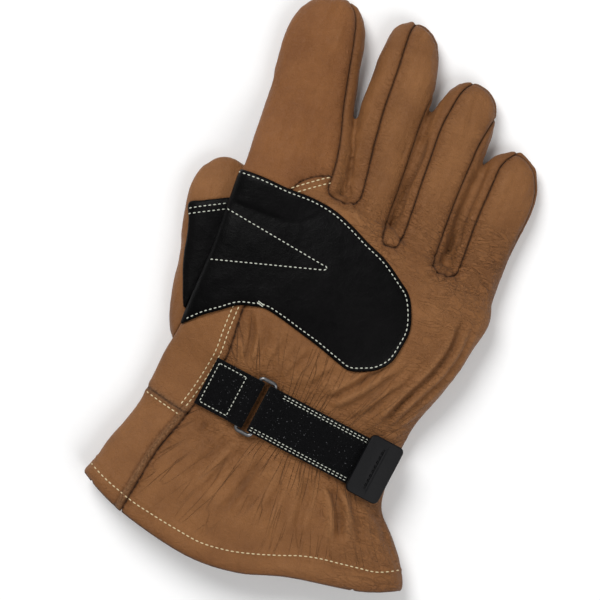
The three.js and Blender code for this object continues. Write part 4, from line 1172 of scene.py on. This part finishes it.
# Heights over the leather and reaches along the strap: where the bars are, and how the loops go round them
layer = strap["seat"] + strap["tape"]
bar = strap["span"] / 2 - strap["wire"] / 2
eye = strap["wire"] / 2 + strap["play"]
loop = eye + strap["tape"]
barHeight = strap["seat"] + loop


def runAlong(first, last, height, step=1.5):
    count = max(int(abs(last - first) / step), 1)
    return [(first + (last - first) * i / count, height) for i in range(count + 1)]


def roundBar(centre, radius, first, last, count=14):
    turns = [math.radians(first + (last - first) * i / count) for i in range(count + 1)]
    return [(centre + radius * math.cos(turn), barHeight + radius * math.sin(turn)) for turn in turns]


# Tape that follows a path of lengths and heights, laid on the wrist
def tapeRibbon(name, path, node):
    bm = bmesh.new()
    made = bmesh.ops.create_grid(bm, x_segments=len(path) - 1, y_segments=18, size=0.5)["verts"]
    for v in made:
        s, h = path[int(round((v.co.x + 0.5) * (len(path) - 1)))]
        t = v.co.y * (strap["width"] - 0.6)
        x, y = strapPlace(s, t)
        v.co = Vector((x, y, topAt(x, y) + h)) * mm
    bmesh.ops.recalc_face_normals(bm, faces=bm.faces)
    ribbon = newObject(name, meshFrom(bm, name))
    thicken(ribbon, (strap["tape"] - 0.15) * mm, 0)
    soft = ribbon.modifiers.new("edges", "BEVEL")
    soft.width = 0.4 * mm
    soft.segments = 2
    soft.limit_method = "ANGLE"
    soft.angle_limit = math.radians(50)
    return finish(ribbon, node, loopTape)


middleOfBar = eye + strap["tape"] / 2
under = strap["seat"] + strap["tape"] / 2
over = layer + 0.3 + strap["tape"] / 2
tabEnd = -strap["tabLength"] - bar
tapeRibbon("strap_tab_tape", runAlong(tabEnd, -bar, under) + roundBar(-bar, middleOfBar, -80, 90)
           + runAlong(-bar - 2 * loop, tabEnd, strap["seat"] + 1.5 * strap["tape"] + 0.1), "strap_tab")
tapeRibbon("closure_strap_tape", runAlong(strap["underLength"], bar, under)
           + roundBar(bar, middleOfBar, 260, 90) + runAlong(bar + 2 * loop, strap["topLength"], over),
           "closure_strap")


# The wire ring, a rounded rectangle through both loops
def wireRing():
    width = strap["span"] - strap["wire"]
    length = strap["width"] + 2 * strap["play"] + strap["wire"]
    corner = 1.6
    path = []
    for sx, sy, start in ((1, 1, 0), (-1, 1, 90), (-1, -1, 180), (1, -1, 270)):
        for i in range(6):
            turn = math.radians(start + 18 * i)
            path.append((sx * (width / 2 - corner) + corner * math.cos(turn),
                         sy * (length / 2 - corner) + corner * math.sin(turn)))
    curve = bpy.data.curves.new("ringPath", "CURVE")
    curve.dimensions = "3D"
    curve.bevel_depth = strap["wire"] / 2 * mm
    curve.bevel_resolution = 4
    spline = curve.splines.new("POLY")
    spline.points.add(len(path) - 1)
    for point, (s, t) in zip(spline.points, path):
        x, y = strapPlace(s, t)
        point.co = (x * mm, y * mm, (topAt(x, y) + barHeight) * mm, 1)
    spline.use_cyclic_u = True
    rough = newObject("ringPath", curve)
    depsgraph = bpy.context.evaluated_depsgraph_get()
    mesh = bpy.data.meshes.new_from_object(rough.evaluated_get(depsgraph))
    bpy.data.objects.remove(rough)
    bpy.data.curves.remove(curve)
    return finish(newObject("ring_wire", mesh), "strap_ring", blackWire)


wireRing()

# The pull tab: a moulded plate on the strap's end, thinner at its outer end, with a row of pips
pull = {"width": 18, "length": 30, "thickness": 3, "corner": 2.8, "overlap": 6, "edge": 0.7, "thin": 1.3,
        "slot": 21, "slotAt": -0.6, "pips": 8, "pipPitch": 2.4}


def cutBy(body, cutter):
    bmesh.ops.recalc_face_normals(cutter, faces=cutter.faces)
    first = newObject("cutBody", meshFrom(body, "cutBody"))
    second = newObject("cutTool", meshFrom(cutter, "cutTool"))
    cut = first.modifiers.new("cut", "BOOLEAN")
    cut.object = second
    cut.operation = "DIFFERENCE"
    cut.solver = "EXACT"
    mesh = bpy.data.meshes.new_from_object(first.evaluated_get(bpy.context.evaluated_depsgraph_get()))
    bpy.data.objects.remove(first)
    bpy.data.objects.remove(second)
    made = bmesh.new()
    made.from_mesh(mesh)
    return made


# The tab's own axes, on the strap's end
def pullFrame():
    seat = strap["topLength"] - pull["overlap"] / 2

    def onEdge(s, side):
        x, y = strapPlace(s, side * strap["width"] / 2)
        return Vector((x, y, topAt(x, y)))

    across = (onEdge(seat, 1) - onEdge(seat, -1)).normalized()
    spot = (onEdge(seat, 1) + onEdge(seat, -1)) / 2
    ahead = (onEdge(seat + 1, 1) + onEdge(seat + 1, -1)) / 2
    up = (ahead - spot).cross(across).normalized()
    along = across.cross(up)
    turn = Matrix((along, across, up)).transposed().to_4x4()
    return Matrix.Translation(spot) @ turn


def upright(bm):
    return [e for e in bm.edges if abs(e.verts[0].co.z - e.verts[1].co.z) > 1]


def roundOff(bm, edges, offset, segments):
    bmesh.ops.bevel(bm, geom=edges, offset=offset, offset_type="OFFSET", segments=segments, profile=0.5,
                    affect="EDGES", clamp_overlap=True, material=-1)


def pullTab():
    bm = bmesh.new()
    size = Matrix.Diagonal((pull["width"], pull["length"], pull["thickness"], 1))
    bmesh.ops.create_cube(bm, size=1, matrix=size)
    roundOff(bm, upright(bm), pull["corner"], 6)
    slope = Vector((pull["thin"], 0, pull["width"] * 0.42)).normalized()
    bmesh.ops.bisect_plane(bm, geom=bm.verts[:] + bm.edges[:] + bm.faces[:], plane_no=slope,
                           plane_co=(pull["width"] * 0.08, 0, pull["thickness"] / 2), clear_outer=True)
    bmesh.ops.holes_fill(bm, edges=[e for e in bm.edges if e.is_boundary], sides=0)
    bmesh.ops.recalc_face_normals(bm, faces=bm.faces)
    rims = [e for e in bm.edges if len(e.link_faces) == 2 and e.calc_face_angle() > math.radians(60)]
    roundOff(bm, rims, pull["edge"], 3)
    slot = bmesh.new()
    slotPlace = Matrix.Translation((pull["slotAt"], 0, pull["thickness"] / 2))
    bmesh.ops.create_cube(slot, size=1, matrix=slotPlace @ Matrix.Diagonal((1.5, pull["slot"], 1.8, 1)))
    roundOff(slot, upright(slot), 0.7, 4)
    bm = cutBy(bm, slot)
    for i in range(pull["pips"]):
        place = Matrix.Translation((pull["slotAt"], (i - (pull["pips"] - 1) / 2) * pull["pipPitch"],
                                    pull["thickness"] / 2 - 0.75))
        bmesh.ops.create_uvsphere(bm, u_segments=10, v_segments=6, radius=0.5,
                                  matrix=place @ Matrix.Diagonal((1.1, 1.3, 0.9, 1)))
    rise = pull["thickness"] / 2 + layer + strap["tape"] + 0.6
    middle = pull["width"] / 2 - pull["overlap"] / 2
    bmesh.ops.transform(bm, matrix=Matrix.Scale(mm, 4) @ pullFrame() @ Matrix.Translation((middle, 0, rise)),
                        verts=bm.verts)
    made = newObject("pull_tab_moulded", meshFrom(bm, "pull_tab_moulded"))
    shade = made.modifiers.new("shade", "WEIGHTED_NORMAL")
    shade.keep_sharp = True
    return finish(made, "pull_tab", mouldedTab)


pullTab()
print("strap made")

# Stitches: a small oval for each, laid on what carries it
depsgraph = bpy.context.evaluated_depsgraph_get()
carriers = {"glove": glove, "thumb": thumbTree}
for name in ("back_patch_leather", "palm_patch_leather", "thumb_patch_leather", "strap_tab_tape",
             "closure_strap_tape"):
    carriers[name] = BVHTree.FromObject(bpy.data.objects[name], depsgraph)


def atEvery(line, pitch):
    points = np.array(line, float)
    steps = np.hypot(*(points[1:] - points[:-1]).T)
    walked = np.concatenate(([0], np.cumsum(steps)))
    places = np.arange(pitch / 2, walked[-1], pitch)
    return [(np.interp(w, walked, points[:, 0]), np.interp(w, walked, points[:, 1])) for w in places]


# Each stitch is dropped from above (side 1) or below (-1) onto the first of its carriers
def sewRow(bm, line, on, stitch, side=1):
    places = atEvery(line, stitch["pitch"])
    for i, (x, y) in enumerate(places):
        hits = [carriers[name].ray_cast(Vector((x, y, 90 * side)) * mm, Vector((0, 0, -side))) for name in on]
        hits = [h for h in hits if h[0] is not None]
        if not hits:
            continue
        place, normal, _, _ = min(hits, key=lambda h: h[3])
        a, b = places[max(i - 1, 0)], places[min(i + 1, len(places) - 1)]
        along = Vector((b[0] - a[0], b[1] - a[1], 0))
        if along.length < 1e-6:
            continue
        along = (along - normal * along.dot(normal)).normalized()
        turn = Matrix((along, normal.cross(along), normal)).transposed().to_4x4()
        size = Matrix.Diagonal((stitch["length"] * mm, stitch["width"] * mm, stitch["high"] * mm, 1))
        seat = Matrix.Translation(place + normal * stitch["lift"] * mm)
        bmesh.ops.create_uvsphere(bm, u_segments=7, v_segments=5, radius=0.5, matrix=seat @ turn @ size)


def sewn(name, rows, on, stitch, thread, side=1):
    bm = bmesh.new()
    for row in rows:
        sewRow(bm, row, on, stitch, side)
    for v in bm.verts:
        v.co.z = max(v.co.z, 0)
    made = newObject(name, meshFrom(bm, name))
    return finish(made, None, thread)


# A line moved sideways, to its left where off is positive
def beside(line, off):
    points = np.array(line, float)
    steps = np.gradient(points, axis=0)
    steps /= np.maximum(np.hypot(steps[:, 0], steps[:, 1]), 1e-6)[:, None]
    return points + off * np.column_stack((-steps[:, 1], steps[:, 0]))


tanStitch = {"pitch": 2.5, "length": 1.9, "width": 0.65, "high": 0.5, "lift": 0.05}
blackStitch = {"pitch": 2.35, "length": 1.6, "width": 0.6, "high": 0.5, "lift": 0.05}
tapeStitch = {"pitch": 2.1, "length": 1.5, "width": 0.5, "high": 0.45, "lift": 0.0}

# The bean's row runs from the thumb-side edge right round to it again
beanRow = [p for p in beside(backPatchLine + backPatchLine[:1], -1.6) if p[0] > -61.5]
starts = next((i for i in range(len(beanRow) - 1) if np.hypot(*(beanRow[i + 1] - beanRow[i])) > 12), None)
beanRow = beanRow if starts is None else beanRow[starts + 1:] + beanRow[:starts + 1]
veeRow = [(-59.9, 23.6), (-5.5, 13.4), (-4.8, 12.6), (-6.5, 11.6), (-59.5, -2.0)]
barTack = [(-30.6, -13.5), (-27.4, -14.5)]
sewn("patch_stitches", [beanRow, veeRow], ["back_patch_leather"], blackStitch, whiteThread)
sewn("patch_tack", [barTack, beside(barTack, 0.8)], ["back_patch_leather"],
     dict(blackStitch, pitch=0.8, length=1.2), whiteThread)
palmRow = beside(palmPatchLine + palmPatchLine[:1], -1.6)
sewn("palm_stitches", [palmRow], ["palm_patch_leather"], dict(blackStitch, lift=-0.05), whiteThread,
     -1)
thumbRows = [[(-77.5, 17.5), (-72.5, 20.2), (-66.5, 23.2), (-60.5, 26.2)],
             [(-77, 14.8), (-72, 17.4), (-66, 20.4), (-60, 23.4)]]
sewn("thumb_stitches", thumbRows, ["thumb_patch_leather", "thumb"], blackStitch, whiteThread)
indexBase = smoothLine([(-34.6, 42.9), (-31, 45.6), (-26, 49.3), (-22, 52.2), (-18.4, 54.6)])
backRow = smoothLine([(-38.2, -18), (-38.6, -25), (-38.8, -33), (-38.8, -40), (-39.4, -46), (-42.3, -60),
                      (-46.2, -73)])
crossRow = [(-66.8, -71.9), (-57.5, -74.3), (-47.6, -76.7)]
hemRow = smoothLine([(-80, -113), (-70, -117.5), (-60, -121), (-54, -123), (-43, -125.5), (-30, -128),
                     (-17, -130), (-3, -129), (10, -126), (20, -123), (29, -120), (38, -118), (48, -117),
                     (58, -116), (67, -115), (77, -111)])
seamRows = [beside(indexBase, -0.2), beside(indexBase, -2.9), backRow, beside(backRow, -2.6), crossRow,
            hemRow]
sewn("seam_stitches", seamRows, ["glove", "thumb"], tanStitch, creamThread)


def onStrap(s0, t0, s1, t1):
    return [strapPlace(s0, t0), strapPlace((s0 + s1) / 2, (t0 + t1) / 2), strapPlace(s1, t1)]


half = strap["width"] / 2
strapRows = [onStrap(5.5 + 3.5 * side, side * (half - inset), strap["topLength"] - 5, side * (half - inset))
             for side in (-1, 1) for inset in (1.5, 2.8)]
boxEnds = (tabEnd + 2, -bar - 6.5)
tabRows = [onStrap(boxEnds[0], side * (half - 2.2), boxEnds[1], side * (half - 2.2)) for side in (-1, 1)]
tabRows += [onStrap(end, -half + 2.2, end, half - 2.2) for end in boxEnds]
sewn("strap_stitches", strapRows, ["closure_strap_tape"], tapeStitch, whiteThread)
sewn("tab_stitches", tabRows, ["strap_tab_tape"], tapeStitch, whiteThread)
print("stitches made")

# Pale floor, soft light from the upper left, and a camera straight above
stage = {"floor": 4.0, "keyPower": 38.0, "fillPower": 19.0, "world": 0.30}
bm = bmesh.new()
bmesh.ops.create_grid(bm, x_segments=1, y_segments=1, size=stage["floor"])
floor = newObject("studio_floor", meshFrom(bm, "studio_floor"))
paper, tree, shader = newMaterial("palePaper")
fibres = noiseAt(tree, objectPlace(tree), 300.0, 2.0)
white = mixColours(tree, fibres, (0.93, 0.93, 0.93, 1), (0.95, 0.95, 0.95, 1))
plug(tree, shader, {"Base Color": white, "Roughness": 0.9, "Specular IOR Level": 0.1})
floor.data.materials.append(paper)


def softLight(name, place, aim, size, power):
    lamp = bpy.data.lights.new(name, "AREA")
    lamp.shape = "DISK"
    lamp.size = size
    lamp.energy = power
    made = newObject(name, lamp)
    made.location = place
    made.rotation_euler = (Vector(aim) - Vector(place)).to_track_quat("-Z", "Y").to_euler()
    return made


softLight("keyLight", (-1.05, 0.95, 1.75), (0, 0, 0), 1.2, stage["keyPower"])
softLight("fillLight", (1.2, -0.7, 1.6), (0, 0, 0), 1.5, stage["fillPower"])
world = bpy.data.worlds.new("studioWorld")
world.use_nodes = True
plug(world.node_tree, world.node_tree.nodes["Background"],
     {"Color": (1, 1, 1, 1), "Strength": stage["world"]})
bpy.context.scene.world = world
bpy.context.scene.view_settings.view_transform = "Standard"

# Where the camera is, how wide it sees at the height of the glove's middle, and its turn about +Z
eyePoint = {"x": -0.012, "y": -0.0055, "height": 1.25, "turn": 20.0, "seen": 0.288, "level": 0.015}
lens = bpy.data.cameras.new("photoCamera")
lens.sensor_fit = "HORIZONTAL"
lens.angle = 2 * math.atan(eyePoint["seen"] / 2 / (eyePoint["height"] - eyePoint["level"]))
lens.clip_start = 0.05
camera = newObject("photoCamera", lens)
camera.location = (eyePoint["x"], eyePoint["y"], eyePoint["height"])
camera.rotation_euler = (0, 0, math.radians(eyePoint["turn"]))
bpy.context.scene.camera = camera

print("scene made")
